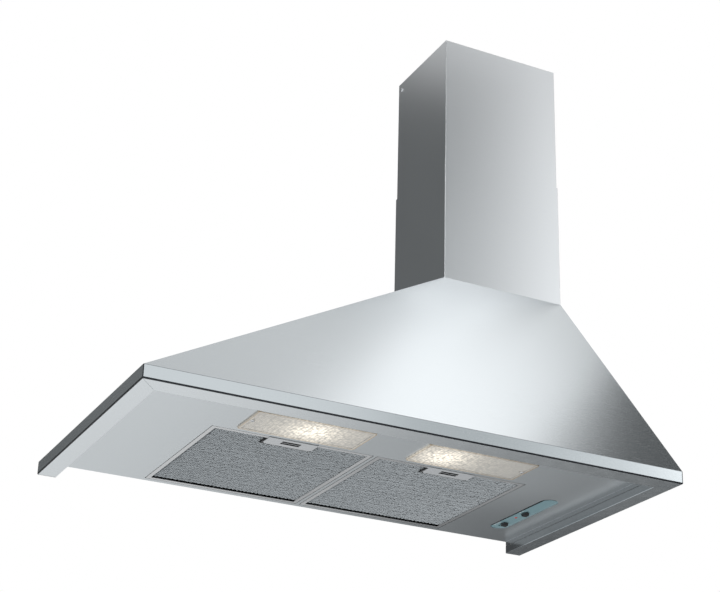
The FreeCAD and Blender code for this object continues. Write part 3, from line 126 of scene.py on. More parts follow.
def place_group(tree, group, **values):
    """The group inside a material, with its own values."""
    made = tree.nodes.new("ShaderNodeGroup")
    made.node_tree = group
    for key, value in values.items():
        socket = made.inputs[key.replace("_", " ")]
        socket.default_value = (*value, 1.0) if isinstance(value, tuple) else value
    return made


def new_finish(name, **values):
    """A material with its Principled shader; values set the shader's own sockets."""
    finish = bpy.data.materials.new(name)
    finish.use_nodes = True
    tree = finish.node_tree
    shader = tree.nodes["Principled BSDF"]
    for key, value in values.items():
        socket = shader.inputs[key.replace("_", " ")]
        socket.default_value = (*value, 1.0) if isinstance(value, tuple) and len(value) == 3 else value
    return finish, tree, shader


def coat_node(name, finish):
    """Gives a CAD node this finish in place of its plain one."""
    slots = nodes[name].data.materials
    slots.clear()
    slots.append(finish)


def object_axes(tree):
    """Position on the object, split along X, Y and Z, in metres."""
    place = shader_node(tree, "ShaderNodeTexCoord").outputs["Object"]
    return place, shader_node(tree, "ShaderNodeSeparateXYZ", Vector=place).outputs


def brushed_grain_group(name, level_sheet):
    """Fine straight scratches with soft cloudy tone; on a level sheet they run from side to side."""
    tree, given, result = effect_group(
        name, {"Colour": STAINLESS, "Roughness": 0.28, "Lines per metre": GRAIN_LINES, "Contrast": 0.06},
        {"Colour": "NodeSocketColor", "Roughness": "NodeSocketFloat", "Height": "NodeSocketFloat"})
    place, axis = object_axes(tree)
    across = math_node(tree, "MULTIPLY", axis["Y" if level_sheet else "Z"],
                       given.outputs["Lines per metre"])
    along = math_node(tree, "MULTIPLY", axis["X"], GRAIN_ALONG)
    other = axis["Z"] if level_sheet else math_node(tree, "MULTIPLY", axis["Y"], GRAIN_ALONG)
    stretched = shader_node(tree, "ShaderNodeCombineXYZ", X=along, Y=other, Z=across)
    lines = shader_node(tree, "ShaderNodeTexNoise", Vector=stretched.outputs[0], Scale=1.0, Detail=3.0,
                        Roughness=0.65).outputs["Fac"]
    cloud = shader_node(tree, "ShaderNodeTexNoise", Vector=place, Scale=CLOUD_SCALE,
                        Detail=2.0).outputs["Fac"]
    speckle = shader_node(tree, "ShaderNodeTexNoise", Vector=place, Scale=SPECKLE_SCALE,
                          Detail=2.0).outputs["Fac"]
    mixed = math_node(tree, "MULTIPLY_ADD", cloud, CLOUD_SHARE)
    tree.links.new(lines, mixed.node.inputs[2])
    grain = math_node(tree, "MULTIPLY_ADD", speckle, SPECKLE_SHARE)
    tree.links.new(mixed, grain.node.inputs[2])
    swing = math_node(tree, "SUBTRACT", grain, GRAIN_MIDDLE)
    gain = math_node(tree, "MULTIPLY", swing, given.outputs["Contrast"])
    level = math_node(tree, "ADD", gain, 1.0)
    tint = shader_node(tree, "ShaderNodeCombineColor", Red=level, Green=level, Blue=level)
    colour = colour_mix(tree, "MULTIPLY", 1.0, given.outputs["Colour"], tint.outputs[0])
    spread = math_node(tree, "MULTIPLY", swing, ROUGHNESS_SWING)
    tree.links.new(colour, result.inputs["Colour"])
    tree.links.new(math_node(tree, "ADD", given.outputs["Roughness"], spread), result.inputs["Roughness"])
    tree.links.new(lines, result.inputs["Height"])
    return tree


brushed_grain = brushed_grain_group("brushed_grain", False)
underside_grain = brushed_grain_group("underside_grain", True)


def brushed_finish(name, group, colour, roughness, lines=GRAIN_LINES, contrast=0.05):
    """Brushed metal: the grain sets tone, roughness and a very fine relief."""
    finish, tree, shader = new_finish(name, Metallic=1.0, Anisotropic=0.4)
    grain = place_group(tree, group, Colour=colour, Roughness=roughness, Lines_per_metre=lines,
                        Contrast=contrast)
    bump = shader_node(tree, "ShaderNodeBump", Distance=GRAIN_RELIEF, Strength=0.3,
                       Height=grain.outputs["Height"])
    tree.links.new(grain.outputs["Colour"], shader.inputs["Base Color"])
    tree.links.new(grain.outputs["Roughness"], shader.inputs["Roughness"])
    tree.links.new(bump.outputs[0], shader.inputs["Normal"])
    return finish


def band_shade_lines_group():
    """Painted shade: a dark line along the band's lower bend and up its corners, and a faint one along
    the fold above.
    """
    tree, given, result = effect_group(
        "band_shade_lines", {"Side X": 0.449, "Side Y": 0.2425, "Band": 0.021},
        {"Edge": "NodeSocketFloat", "Fold": "NodeSocketFloat"})
    _, axis = object_axes(tree)
    near = []
    for label in ("X", "Y"):
        out = math_node(tree, "ABSOLUTE", axis[label])
        depth = math_node(tree, "SUBTRACT", given.outputs["Side " + label], out)
        near.append(math_node(tree, "LESS_THAN", depth, EDGE_DEPTH))
    outer = math_node(tree, "MAXIMUM", near[0], near[1])
    corner = math_node(tree, "MULTIPLY", near[0], near[1])
    low = math_node(tree, "LESS_THAN", axis["Z"], BAND_EDGE)
    below_fold = math_node(tree, "LESS_THAN", axis["Z"], given.outputs["Band"])
    foot = math_node(tree, "MULTIPLY", outer, low)
    upright = math_node(tree, "MULTIPLY", corner, below_fold)
    tree.links.new(math_node(tree, "MAXIMUM", foot, upright), result.inputs["Edge"])
    from_fold = math_node(tree, "ABSOLUTE", math_node(tree, "SUBTRACT", axis["Z"], given.outputs["Band"]))
    tree.links.new(math_node(tree, "LESS_THAN", from_fold, FOLD_HALF), result.inputs["Fold"])
    return tree


def side_return_shade_group():
    """1 on the turned-down sides beside the panel, which are painted greyer as shade."""
    tree, given, result = effect_group("side_return_shade", {"Side": 0.4205, "Top": 0.0208, "Front": -0.2405},
                                       {"Mask": "NodeSocketFloat"})
    _, axis = object_axes(tree)
    out = math_node(tree, "ABSOLUTE", axis["X"])
    away = math_node(tree, "ABSOLUTE", math_node(tree, "SUBTRACT", out, given.outputs["Side"]))
    close = math_node(tree, "LESS_THAN", away, RETURN_HALF)
    raised = math_node(tree, "GREATER_THAN", axis["Z"], RETURN_FOOT)
    under = math_node(tree, "LESS_THAN", axis["Z"], given.outputs["Top"])
    behind = math_node(tree, "GREATER_THAN", axis["Y"], given.outputs["Front"])
    height = math_node(tree, "MULTIPLY", raised, under)
    place = math_node(tree, "MULTIPLY", close, behind)
    tree.links.new(math_node(tree, "MULTIPLY", height, place), result.inputs["Mask"])
    return tree


side_return_shade = side_return_shade_group()


def draw_mask(tree, shader, mask, colour):
    """Lays a second colour over the shader's own where the mask is 1."""
    under = shader.inputs["Base Color"]
    first = under.links[0].from_socket if under.links else tuple(under.default_value)[:3]
    tree.links.new(colour_mix(tree, "MIX", mask, first, colour), under)


_, canopy_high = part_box("canopy_shell")
canopy_finish = brushed_finish("canopy_brushed", brushed_grain, STAINLESS, CANOPY_ROUGHNESS)
tree = canopy_finish.node_tree
edge = place_group(tree, band_shade_lines_group(), Side_X=canopy_high.x, Side_Y=canopy_high.y)
canopy_shader = tree.nodes["Principled BSDF"]
# Painted shade: the grey line along the fold and the dark lines along the band's lower bend and corners.
draw_mask(tree, canopy_shader, edge.outputs["Fold"], FOLD_SHADE_GREY)
draw_mask(tree, canopy_shader, edge.outputs["Edge"], FOLD_SHADE)
# The turned-down sides inside are painted greyer, as shade.
draw_mask(tree, canopy_shader, place_group(tree, side_return_shade).outputs["Mask"], RETURN_SHADE)
coat_node("canopy_shell", canopy_finish)

# ---------------------------------------------------------------- back panel and blower plate
# The back panel and the shelf that carries the blower are zinc-coated sheet. They are spot-welded or
# screwed inside the canopy and are never polished, so the zinc's flowers still show.
ZINC = (0.56, 0.58, 0.60)
CRYSTAL_SCALE = 70.0
CRYSTAL_TONES = (0.78, 1.12)
CRYSTAL_ROUGHNESS = (0.38, 0.55)


def zinc_finish(name):
    """Zinc-coated sheet with large pale and dark crystals."""
    finish, tree, shader = new_finish(name, Metallic=0.9)
    place, _ = object_axes(tree)
    cells = shader_node(tree, "ShaderNodeTexVoronoi", Vector=place, Scale=CRYSTAL_SCALE, Randomness=1.0)
    tone = shader_node(tree, "ShaderNodeMapRange", Value=cells.outputs["Color"],
                       To_Min=CRYSTAL_TONES[0], To_Max=CRYSTAL_TONES[1])
    colour = colour_mix(tree, "MULTIPLY", 1.0, ZINC, tone.outputs[0])
    rough = shader_node(tree, "ShaderNodeMapRange", Value=cells.outputs["Color"],
                        To_Min=CRYSTAL_ROUGHNESS[0], To_Max=CRYSTAL_ROUGHNESS[1])
    tree.links.new(colour, shader.inputs["Base Color"])
    tree.links.new(rough.outputs[0], shader.inputs["Roughness"])
    return finish


zinc = zinc_finish("zinc_coated_sheet")
for name in ("back_panel", "blower_plate", "motor_bracket", "chimney_bracket"):
    coat_node(name, zinc)

# ---------------------------------------------------------------- underside panel
# A flat brushed panel closes the canopy from below. It lies on the front lip and its sides are turned
# down; the filters, the lamps and the controls sit in its cut-outs.
PANEL_STEEL = (0.575, 0.610, 0.630)
PANEL_ROUGHNESS = 0.30
PANEL_LINES = 1400.0
PANEL_CONTRAST = 0.10

panel_finish = brushed_finish("underside_brushed", underside_grain, PANEL_STEEL, PANEL_ROUGHNESS,
                              lines=PANEL_LINES, contrast=PANEL_CONTRAST)
tree = panel_finish.node_tree
# The turned-down sides are painted greyer, as shade.
draw_mask(tree, tree.nodes["Principled BSDF"], place_group(tree, side_return_shade).outputs["Mask"],
          RETURN_SHADE)
coat_node("underside_panel", panel_finish)

# ---------------------------------------------------------------- grease filters
# Each filter is a cassette: a folded aluminium channel that holds layers of expanded aluminium mesh.
# It hooks over the panel's rear ledge and latches at the front with a sprung finger plate.
FILTER_ALUMINIUM = (0.60, 0.61, 0.62)
MESH_ALUMINIUM = (0.47, 0.50, 0.52)
PACK_SHADE = (0.055, 0.057, 0.060)
FILTER_LINES = 1500.0
FILTER_CONTRAST = 0.16
MESH_CELL_LENGTH = 0.0064
MESH_CELL_WIDTH = 0.0034
MESH_STRAND = 0.00050
STRAND_FLATNESS = 0.7
STRAND_OVERLAP = 0.4
MESH_REAR_GAP = 0.0115
MESH_UNEVEN = 0.0005
UNEVEN_ALONG = 2.0
UNEVEN_ACROSS = 0.6
UNEVEN_LIFT = 0.5
MESH_SEED = 11


def mesh_object(name, bm, finish):
    """An object from a finished bmesh."""
    data = bpy.data.meshes.new(name)
    bm.to_mesh(data)
    bm.free()
    data.materials.append(finish)
    made = bpy.data.objects.new(name, data)
    bpy.context.scene.collection.objects.link(made)
    return made


def filter_finish(name, colour, roughness):
    """Plain milled aluminium with fine level scratches."""
    return brushed_finish(name, underside_grain, colour, roughness, lines=FILTER_LINES,
                          contrast=FILTER_CONTRAST)


def strand(bm, points, half):
    """A thin three-sided strand through the points."""
    rings = []
    for p in points:
        rings.append([bm.verts.new(p + Vector((-half, 0, half * STRAND_FLATNESS))),
                      bm.verts.new(p + Vector((half, 0, half * STRAND_FLATNESS))),
                      bm.verts.new(p + Vector((0, 0, -half)))])
    for a, b in zip(rings, rings[1:]):
        for i in range(3):
            j = (i + 1) % 3
            bm.faces.new((a[i], a[j], b[j], b[i]))
    bm.faces.new(rings[0][::-1])
    bm.faces.new(rings[-1])


def expanded_sheet(bm, low, high, z, keep_out):
    """Expanded mesh: zigzag strands from front to back, which meet at their peaks; none in keep_out."""
    rows = int((high.x - low.x) / MESH_CELL_WIDTH)
    steps = int((high.y - low.y) / (MESH_CELL_LENGTH / 2))
    pitch = (high.x - low.x) / rows
    step = (high.y - low.y) / steps
    draw = random.Random(MESH_SEED)
    for row in range(rows):
        base = low.x + (row + 0.5) * pitch
        run = []
        for i in range(steps + 1):
            side = 1 if (i + row) % 2 else -1
            along = low.y + i * step + draw.uniform(-UNEVEN_ALONG, UNEVEN_ALONG) * MESH_UNEVEN
            y = min(high.y, max(low.y, along))
            x = (base + side * (pitch * 0.5 - MESH_STRAND * STRAND_OVERLAP)
                 + draw.uniform(-UNEVEN_ACROSS, UNEVEN_ACROSS) * MESH_UNEVEN)
            lift = draw.uniform(-UNEVEN_LIFT, UNEVEN_LIFT) * MESH_STRAND
            if keep_out and keep_out[0].x < x < keep_out[1].x and keep_out[0].y < y < keep_out[1].y:
                if len(run) > 1:
                    strand(bm, run, MESH_STRAND)
                run = []
            else:
                run.append(Vector((x, y, z + lift)))
        if len(run) > 1:
            strand(bm, run, MESH_STRAND)


mesh_finish = filter_finish("mesh_aluminium", MESH_ALUMINIUM, 0.34)
frame_finish = filter_finish("filter_channel_aluminium", FILTER_ALUMINIUM, 0.30)
# The pack behind the mesh is painted near black, as the shade inside the cassette.
core_shade_finish = filter_finish("filter_pack_shade", PACK_SHADE, 0.55)

for side in ("left", "right"):
    low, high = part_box("filter_mesh_" + side)
    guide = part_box("latch_guide_" + side)
    bm = bmesh.new()
    shown = Vector((high.x, high.y - MESH_REAR_GAP, high.z))
    expanded_sheet(bm, low, shown, low.z + 1.5 * MESH_STRAND, guide)
    expanded_sheet(bm, low, high, high.z - 1.5 * MESH_STRAND, None)
    sheets = mesh_object("filter_mesh_sheets_" + side, bm, mesh_finish)
    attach(sheets, "filter_" + side)
    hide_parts("filter_mesh_" + side)
    coat_node("filter_frame_" + side, frame_finish)
    coat_node("filter_core_" + side, core_shade_finish)

# ---------------------------------------------------------------- filter latches
# The finger plate is moulded and painted metallic grey. It slides in a black guide tray against a
# small steel spring, and its tongue reaches over the edge of the panel.
LATCH_GREY = (0.50, 0.515, 0.53)
LATCH_LENGTH = 0.029
GRIP_SHARE = 0.45
SLOT_LENGTH = 0.030
# Painted shade: matte black pads round the grip slots make them read dark.
SLOT_SHADE_MARGIN = 0.0006
SLOT_SHADE_WIDTH = 0.0052
SLOT_SHADE_SPACING = 0.0070
SLOT_SHADE_RINGS = ((1.0, 0.0), (0.97, 0.00016), (0.90, 0.00016), (0.88, 0.00009))
SHADE_BLACK = (0.012, 0.012, 0.013)
BLACK_MOULDING = (0.035, 0.036, 0.038)
BRIGHT_STEEL = (0.62, 0.63, 0.64)
PEBBLE_SCALE = 1400.0
PEBBLE_TONES = (0.88, 1.10)
PEBBLE_RELIEF = 0.00006


def moulded_finish(name, colour, roughness, metallic=0.0):
    """Moulded plastic with a fine pebbled skin."""
    finish, tree, shader = new_finish(name, Base_Color=colour, Roughness=roughness, Metallic=metallic)
    place, _ = object_axes(tree)
    pebble = shader_node(tree, "ShaderNodeTexNoise", Vector=place, Scale=PEBBLE_SCALE, Detail=2.0)
    tone = shader_node(tree, "ShaderNodeMapRange", Value=pebble.outputs["Fac"],
                       To_Min=PEBBLE_TONES[0], To_Max=PEBBLE_TONES[1])
    tree.links.new(colour_mix(tree, "MULTIPLY", 1.0, colour, tone.outputs[0]),
                   shader.inputs["Base Color"])
    rough = shader_node(tree, "ShaderNodeMapRange", Value=pebble.outputs["Fac"],
                        To_Min=roughness * 0.85, To_Max=min(1.0, roughness * 1.15))
    tree.links.new(rough.outputs[0], shader.inputs["Roughness"])
    bump = shader_node(tree, "ShaderNodeBump", Distance=PEBBLE_RELIEF, Strength=0.25,
                       Height=pebble.outputs["Fac"])
    tree.links.new(bump.outputs[0], shader.inputs["Normal"])
    return finish


def strip_mask_group():
    """1 inside a rectangle of the sheet; X is taken on both sides of the middle where Mirror is 1."""
    tree, given, result = effect_group(
        "strip_mask",
        {"Centre X": 0.0, "Centre Y": 0.0, "Half X": 0.01, "Half Y": 0.001, "Mirror": 0.0},
        {"Mask": "NodeSocketFloat"})
    _, axis = object_axes(tree)
    both = math_node(tree, "ABSOLUTE", axis["X"])
    swap = shader_node(tree, "ShaderNodeMix", data_type="FLOAT")
    tree.links.new(given.outputs["Mirror"], swap.inputs[0])
    tree.links.new(axis["X"], swap.inputs[2])
    tree.links.new(both, swap.inputs[3])
    inside = []
    for value, label in ((swap.outputs[0], "X"), (axis["Y"], "Y")):
        offset = math_node(tree, "SUBTRACT", value, given.outputs["Centre " + label])
        away = math_node(tree, "ABSOLUTE", offset)
        inside.append(math_node(tree, "LESS_THAN", away, given.outputs["Half " + label]))
    tree.links.new(math_node(tree, "MULTIPLY", inside[0], inside[1]), result.inputs["Mask"])
    return tree


strip_mask = strip_mask_group()
latch_finish = moulded_finish("latch_grey_paint", LATCH_GREY, 0.38, metallic=0.35)
# Matte black for painted shade round the grip slots and under the control opening's edge.
shade_black_finish, _, _ = new_finish("slot_painted_shade", Base_Color=SHADE_BLACK, Roughness=0.85,
                                 Specular_IOR_Level=0.04)


def slot_shade_pad(name, centre, half_x, half_y, plate_z):
    """Painted shade round a grip slot: a thin black rim with a shallow middle, set on the plate's face.
    """
    bm = bmesh.new()
    mouth = [(half_x, half_y), (-half_x, half_y), (-half_x, -half_y), (half_x, -half_y)]
    rings = []
    for share, drop in SLOT_SHADE_RINGS:
        rings.append([bm.verts.new((centre.x + x * share, centre.y + y * share, plate_z - drop))
                      for x, y in mouth])
    for a, b in zip(rings, rings[1:]):
        for k in range(4):
            bm.faces.new((a[k], a[(k + 1) % 4], b[(k + 1) % 4], b[k]))
    bm.faces.new(rings[-1])
    return mesh_object(name, bm, shade_black_finish)


black_moulding = moulded_finish("black_moulding", BLACK_MOULDING, 0.55)
steel_bright = filter_finish("bright_steel", BRIGHT_STEEL, 0.25)

for side in ("left", "right"):
    coat_node("filter_latch_" + side, latch_finish)
    plate_low, plate_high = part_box("filter_latch_" + side)
    middle_x = (plate_low.x + plate_high.x) / 2
    grip_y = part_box("filter_frame_" + side)[0].y + LATCH_LENGTH * GRIP_SHARE
    # Black pads round the two grip slots are painted shade.
    for place, way in (("front", -1), ("rear", 1)):
        centre = Vector((middle_x, grip_y + way * SLOT_SHADE_SPACING / 2, 0))
        shade_pad = slot_shade_pad("slot_lining_%s_%s" % (side, place), centre,
                            SLOT_LENGTH / 2 + SLOT_SHADE_MARGIN, SLOT_SHADE_WIDTH / 2, plate_low.z)
        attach(shade_pad, "latch_" + side)
    coat_node("latch_guide_" + side, black_moulding)
    coat_node("latch_spring_" + side, steel_bright)

# ---------------------------------------------------------------- lamps
# Two lamps sit behind clear prismatic lenses, each held by one screw at its outer end. The housing is
# a white pressed tray, and the bulb glows warm through the lens.
LENS_CLEAR = (0.42, 0.41, 0.385)
LENS_RIM_TONE = (0.34, 0.27, 0.19)
GLOW = (1.0, 0.90, 0.74)
PRISM_PITCH = 0.0034
PRISM_DEPTH = 0.00055
LENS_RIM = 0.0055
RIM_LINE = 0.0011
GLOW_X = {"left": -0.133, "right": 0.092}
GLOW_FADE = 0.10
LENS_GLOW = 0.72
LENS_THICKNESS = 0.0025
PRISM_RATIO = 0.62
PRISM_RING = 0.3
REFLECTOR_WHITE = (0.82, 0.81, 0.77)
HOLDER_WHITE = (0.74, 0.73, 0.70)
FROSTED_GLASS = (0.95, 0.92, 0.85)


def lens_glow_group():
    """Colour of the warm light round one spot of a lens, broken up by the prisms."""
    tree, given, result = effect_group(
        "lens_glow",
        {"Glow": GLOW, "Spot X": 0.15, "Spot Y": -0.15, "Reach X": 0.034, "Reach Y": 0.032,
         "Broad": 0.32},
        {"Colour": "NodeSocketColor"})
    place, axis = object_axes(tree)
    squares = []
    for label in ("X", "Y"):
        away = math_node(tree, "SUBTRACT", axis[label], given.outputs["Spot " + label])
        share = math_node(tree, "DIVIDE", away, given.outputs["Reach " + label])
        squares.append(math_node(tree, "MULTIPLY", share, share))
    total = math_node(tree, "ADD", squares[0], squares[1])
    near = math_node(tree, "EXPONENT", math_node(tree, "MULTIPLY", total, -1.0))
    far = math_node(tree, "EXPONENT", math_node(tree, "MULTIPLY", total, -GLOW_FADE))
    broad = math_node(tree, "MULTIPLY", far, given.outputs["Broad"])
    cells = shader_node(tree, "ShaderNodeTexVoronoi", Vector=place, Scale=PRISM_RATIO / PRISM_PITCH,
                        Randomness=0.55).outputs["Distance"]
    sparkle = shader_node(tree, "ShaderNodeMapRange", Value=cells, From_Min=0.1, From_Max=0.75,
                          To_Min=1.45, To_Max=0.25).outputs[0]
    mask = math_node(tree, "MULTIPLY", math_node(tree, "ADD", near, broad), sparkle)
    strength = shader_node(tree, "ShaderNodeCombineColor", Red=mask, Green=mask, Blue=mask)
    colour = colour_mix(tree, "MULTIPLY", 1.0, given.outputs["Glow"], strength.outputs[0])
    tree.links.new(colour, result.inputs["Colour"])
    return tree


lens_glow = lens_glow_group()


def lens_finish(name, bright_spot, low, high):
    """Clear moulded lens that glows round a bright spot, with a tan line round its rim."""
    finish, tree, shader = new_finish(name, Base_Color=LENS_CLEAR, Roughness=0.22,
                                      Emission_Strength=LENS_GLOW)
    glow = place_group(tree, lens_glow, Spot_X=bright_spot.x, Spot_Y=bright_spot.y)
    tree.links.new(glow.outputs["Colour"], shader.inputs["Emission Color"])
    middle = (low + high) / 2
    for x, y, half_x, half_y in (
            (middle.x, low.y + RIM_LINE, high.x - middle.x, RIM_LINE),
            (middle.x, high.y - RIM_LINE, high.x - middle.x, RIM_LINE),
            (low.x + RIM_LINE, middle.y, RIM_LINE, high.y - middle.y),
            (high.x - RIM_LINE, middle.y, RIM_LINE, high.y - middle.y)):
        rim = place_group(tree, strip_mask, Centre_X=x, Centre_Y=y, Half_X=half_x, Half_Y=half_y)
        draw_mask(tree, shader, rim.outputs["Mask"], LENS_RIM_TONE)
    return finish


def prism_field(name, low, high, z, finish):
    """Diamond-shaped prisms all over the lens's face, inside its rim."""
    bm = bmesh.new()
    columns = int((high.x - low.x) / PRISM_PITCH)
    rows = int((high.y - low.y) / PRISM_PITCH)
    dx = (high.x - low.x) / columns / 2
    dy = (high.y - low.y) / rows / 2
    grid = {}

    def corner(i, j, depth):
        key = (i, j)
        if key not in grid:
            grid[key] = bm.verts.new((low.x + i * dx, low.y + j * dy, z - depth))
        return grid[key]

    for i in range(0, 2 * columns + 1):
        for j in range(0, 2 * rows + 1):
            if (i + j) % 2 or i in (0, 2 * columns) or j in (0, 2 * rows):
                continue
            peak = corner(i, j, PRISM_DEPTH if i % 2 else 0.0)
            ring = [corner(i + a, j + b, PRISM_DEPTH * PRISM_RING)
                    for a, b in ((1, 0), (0, 1), (-1, 0), (0, -1))]
            for a, b in zip(ring, ring[1:] + ring[:1]):
                bm.faces.new((peak, b, a))
    bmesh.ops.recalc_face_normals(bm, faces=bm.faces)
    return mesh_object(name, bm, finish)


reflector_paint = moulded_finish("reflector_white", REFLECTOR_WHITE, 0.30)
socket_finish = moulded_finish("lamp_holder_white", HOLDER_WHITE, 0.55)
for side in ("left", "right"):
    low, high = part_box("lamp_lens_" + side)
    finish = lens_finish("lens_" + side, Vector((GLOW_X[side], (low.y + high.y) / 2, 0)), low, high)
    coat_node("lamp_lens_" + side, finish)
    face = high.z - LENS_THICKNESS
    inset = Vector((LENS_RIM, LENS_RIM, 0))
    prisms = prism_field("lens_prisms_" + side, low + inset, high - inset, face, finish)
    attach(prisms, "hood")
    coat_node("lamp_housing_" + side, reflector_paint)
    coat_node("lamp_socket_" + side, socket_finish)
    glass, _, _ = new_finish("bulb_frosted_" + side, Base_Color=FROSTED_GLASS, Roughness=0.4,
                             Emission_Color=GLOW, Emission_Strength=1.0)
    coat_node("lamp_bulb_" + side, glass)
    coat_node("lamp_cap_" + side, steel_bright)

# ---------------------------------------------------------------- slider controls
# The control plate is a printed strip behind a long rounded opening. Two ribbed black sliders run in
# its slots, one for the fan's speed and one for the lamps, with a red pilot light between them.
TEAL = (0.16, 0.27, 0.30)
TICK_WHITE = (0.75, 0.77, 0.78)
TICKS = {"speed_knob": (-0.001, 0.005, 0.011, 0.017), "lamp_knob": (-0.008, 0.0)}
TICK_OFFSET = 0.0095
TICK_HALF_X = 0.0022
TICK_HALF_Y = 0.0007
OPENING_LEFT = 0.342
OPENING_FRONT = -0.012
OPENING_REAR = 0.178
OPENING_WIDTH = 0.032
# Painted shadow of the panel's edge: a matte black strip round the opening's left side and front bend.
OPENING_SHADOW_WIDTH = 0.0044
OPENING_SHADOW_TUCK = 0.0005
OPENING_SHADOW_HEIGHT = 0.0006
OPENING_SHADOW_DROP = 0.0007
OPENING_SHADOW_STEPS = 12
OPENING_SHADOW_STEP_TURN = math.radians(10.0)
OPENING_SHADOW_TAPER = 0.05
SLIDER_BLACK = (0.018, 0.018, 0.020)
PILOT_RED = (0.30, 0.012, 0.010)
PILOT_GLOW = (1.0, 0.06, 0.03)

teal_finish = moulded_finish("teal_print", TEAL, 0.35)
tree = teal_finish.node_tree
for name, ticks in TICKS.items():
    low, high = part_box(name)
    middle = (low + high) / 2
    for step in ticks:
        tick = place_group(tree, strip_mask, Centre_X=middle.x - TICK_OFFSET, Centre_Y=middle.y + step,
                           Half_X=TICK_HALF_X, Half_Y=TICK_HALF_Y)
        draw_mask(tree, tree.nodes["Principled BSDF"], tick.outputs["Mask"], TICK_WHITE)
coat_node("control_plate", teal_finish)


def opening_shadow_strip(name, left, front, rear, radius, wide, z):
    """Painted shadow of the panel's edge: a matte black strip along the left side and the front bend of
    the rounded opening.
    """
    bm = bmesh.new()
    centre = Vector((left + radius, front + radius, z))
    line = [(Vector((left, rear - radius * 0.6, z)), Vector((1, 0, 0)), 0.7)]
    line.append((Vector((left, centre.y, z)), Vector((1, 0, 0)), 1.0))
    for k in range(1, OPENING_SHADOW_STEPS + 1):
        turn = math.pi + k * OPENING_SHADOW_STEP_TURN
        out = Vector((math.cos(turn), math.sin(turn), 0))
        line.append((centre + radius * out, -out, 1.0 - OPENING_SHADOW_TAPER * k))
    outer = [bm.verts.new(p - OPENING_SHADOW_TUCK * way) for p, way, _ in line]
    inner = [bm.verts.new(p + wide * share * way) for p, way, share in line]
    top = [bm.verts.new(v.co + Vector((0, 0, OPENING_SHADOW_HEIGHT))) for v in inner]
    for k in range(len(line) - 1):
        bm.faces.new((outer[k], outer[k + 1], inner[k + 1], inner[k]))
        bm.faces.new((inner[k], inner[k + 1], top[k + 1], top[k]))
    return mesh_object(name, bm, shade_black_finish)


opening_shadow = opening_shadow_strip("control_opening_shadow", OPENING_LEFT, OPENING_FRONT, OPENING_REAR, OPENING_WIDTH / 2,
                      OPENING_SHADOW_WIDTH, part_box("control_plate")[0].z - OPENING_SHADOW_DROP)
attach(opening_shadow, "hood")
knob_finish = moulded_finish("slider_black", SLIDER_BLACK, 0.35)
for name in ("speed_knob", "lamp_knob"):
    coat_node(name, knob_finish)
pilot, _, _ = new_finish("pilot_red", Base_Color=PILOT_RED, Roughness=0.12, Coat_Weight=0.6,
                         Emission_Color=PILOT_GLOW, Emission_Strength=0.15)
coat_node("indicator_lens", pilot)
coat_node("switch_box", black_moulding)

# ---------------------------------------------------------------- blower and electrics
# The blower is a moulded scroll with two bell-mouthed inlets; a black drum impeller turns on a steel
# shaft inside it. It hangs from the shelf, and the capacitor and the connection box stand on top.
GREY_MOULDING = (0.20, 0.205, 0.21)
WHITE_MOULDING = (0.78, 0.78, 0.76)
MOTOR_BLACK = (0.05, 0.05, 0.055)
CAPACITOR_WHITE = (0.72, 0.72, 0.70)
BEARING_BRONZE = (0.45, 0.32, 0.17)

grey_moulding = moulded_finish("grey_moulding", GREY_MOULDING, 0.50)
white_moulding = moulded_finish("white_moulding", WHITE_MOULDING, 0.45)
motor_paint = moulded_finish("motor_black_paint", MOTOR_BLACK, 0.42)
capacitor_shell = moulded_finish("capacitor_shell", CAPACITOR_WHITE, 0.40)
bronze, _, _ = new_finish("sintered_bronze", Base_Color=BEARING_BRONZE, Metallic=1.0, Roughness=0.5)
for name, finish in (
        ("scroll_housing", grey_moulding), ("inlet_ring_left", grey_moulding),
        ("inlet_ring_right", grey_moulding), ("impeller", black_moulding), ("fan_shaft", steel_bright),
        ("motor", motor_paint), ("motor_bearings", bronze), ("capacitor", capacitor_shell),
        ("terminal_box", black_moulding), ("terminal_block", white_moulding),
        ("cable_gland", black_moulding), ("outlet_collar", grey_moulding), ("front_flap", grey_moulding),
        ("rear_flap", grey_moulding), ("flap_pin", steel_bright)):
    coat_node(name, finish)

# ---------------------------------------------------------------- screws
# All the screws are zinc-plated steel. The two that hold the lenses are the ones seen from below, and
# a dark cross painted on their pan heads is the painted shade of their cross recess.
SCREW_ZINC = (0.60, 0.61, 0.63)
RECESS_SHADE = (0.02, 0.02, 0.02)
RECESS_LONG = 0.62
RECESS_WIDE = 0.13

screw_zinc = filter_finish("screw_zinc_plate", SCREW_ZINC, 0.30)
recess_shade_finish = filter_finish("screw_zinc_recess_shade", SCREW_ZINC, 0.30)
tree = recess_shade_finish.node_tree
screw_low, screw_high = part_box("lens_screws")
head_radius = (screw_high.y - screw_low.y) / 2
for half_x, half_y in ((RECESS_LONG, RECESS_WIDE), (RECESS_WIDE, RECESS_LONG)):
    arm = place_group(tree, strip_mask, Centre_X=screw_high.x - head_radius,
                      Centre_Y=(screw_low.y + screw_high.y) / 2, Half_X=half_x * head_radius,
                      Half_Y=half_y * head_radius, Mirror=1.0)
    draw_mask(tree, tree.nodes["Principled BSDF"], arm.outputs["Mask"], RECESS_SHADE)
coat_node("lens_screws", recess_shade_finish)
for name in ("blower_screws", "plate_screws", "collar_screws", "chimney_screws", "bracket_screws"):
    coat_node(name, screw_zinc)

# ---------------------------------------------------------------- chimney
# Two folded sleeves of the same brushed sheet hide the duct. The upper one is a little smaller and
# slides inside the lower one, to reach the ceiling.
CHIMNEY_STEEL = (0.64, 0.655, 0.67)
CHIMNEY_ROUGHNESS = 0.30

chimney_finish = brushed_finish("chimney_brushed", brushed_grain, CHIMNEY_STEEL, CHIMNEY_ROUGHNESS)
coat_node("lower_chimney", chimney_finish)
coat_node("upper_chimney", chimney_finish)

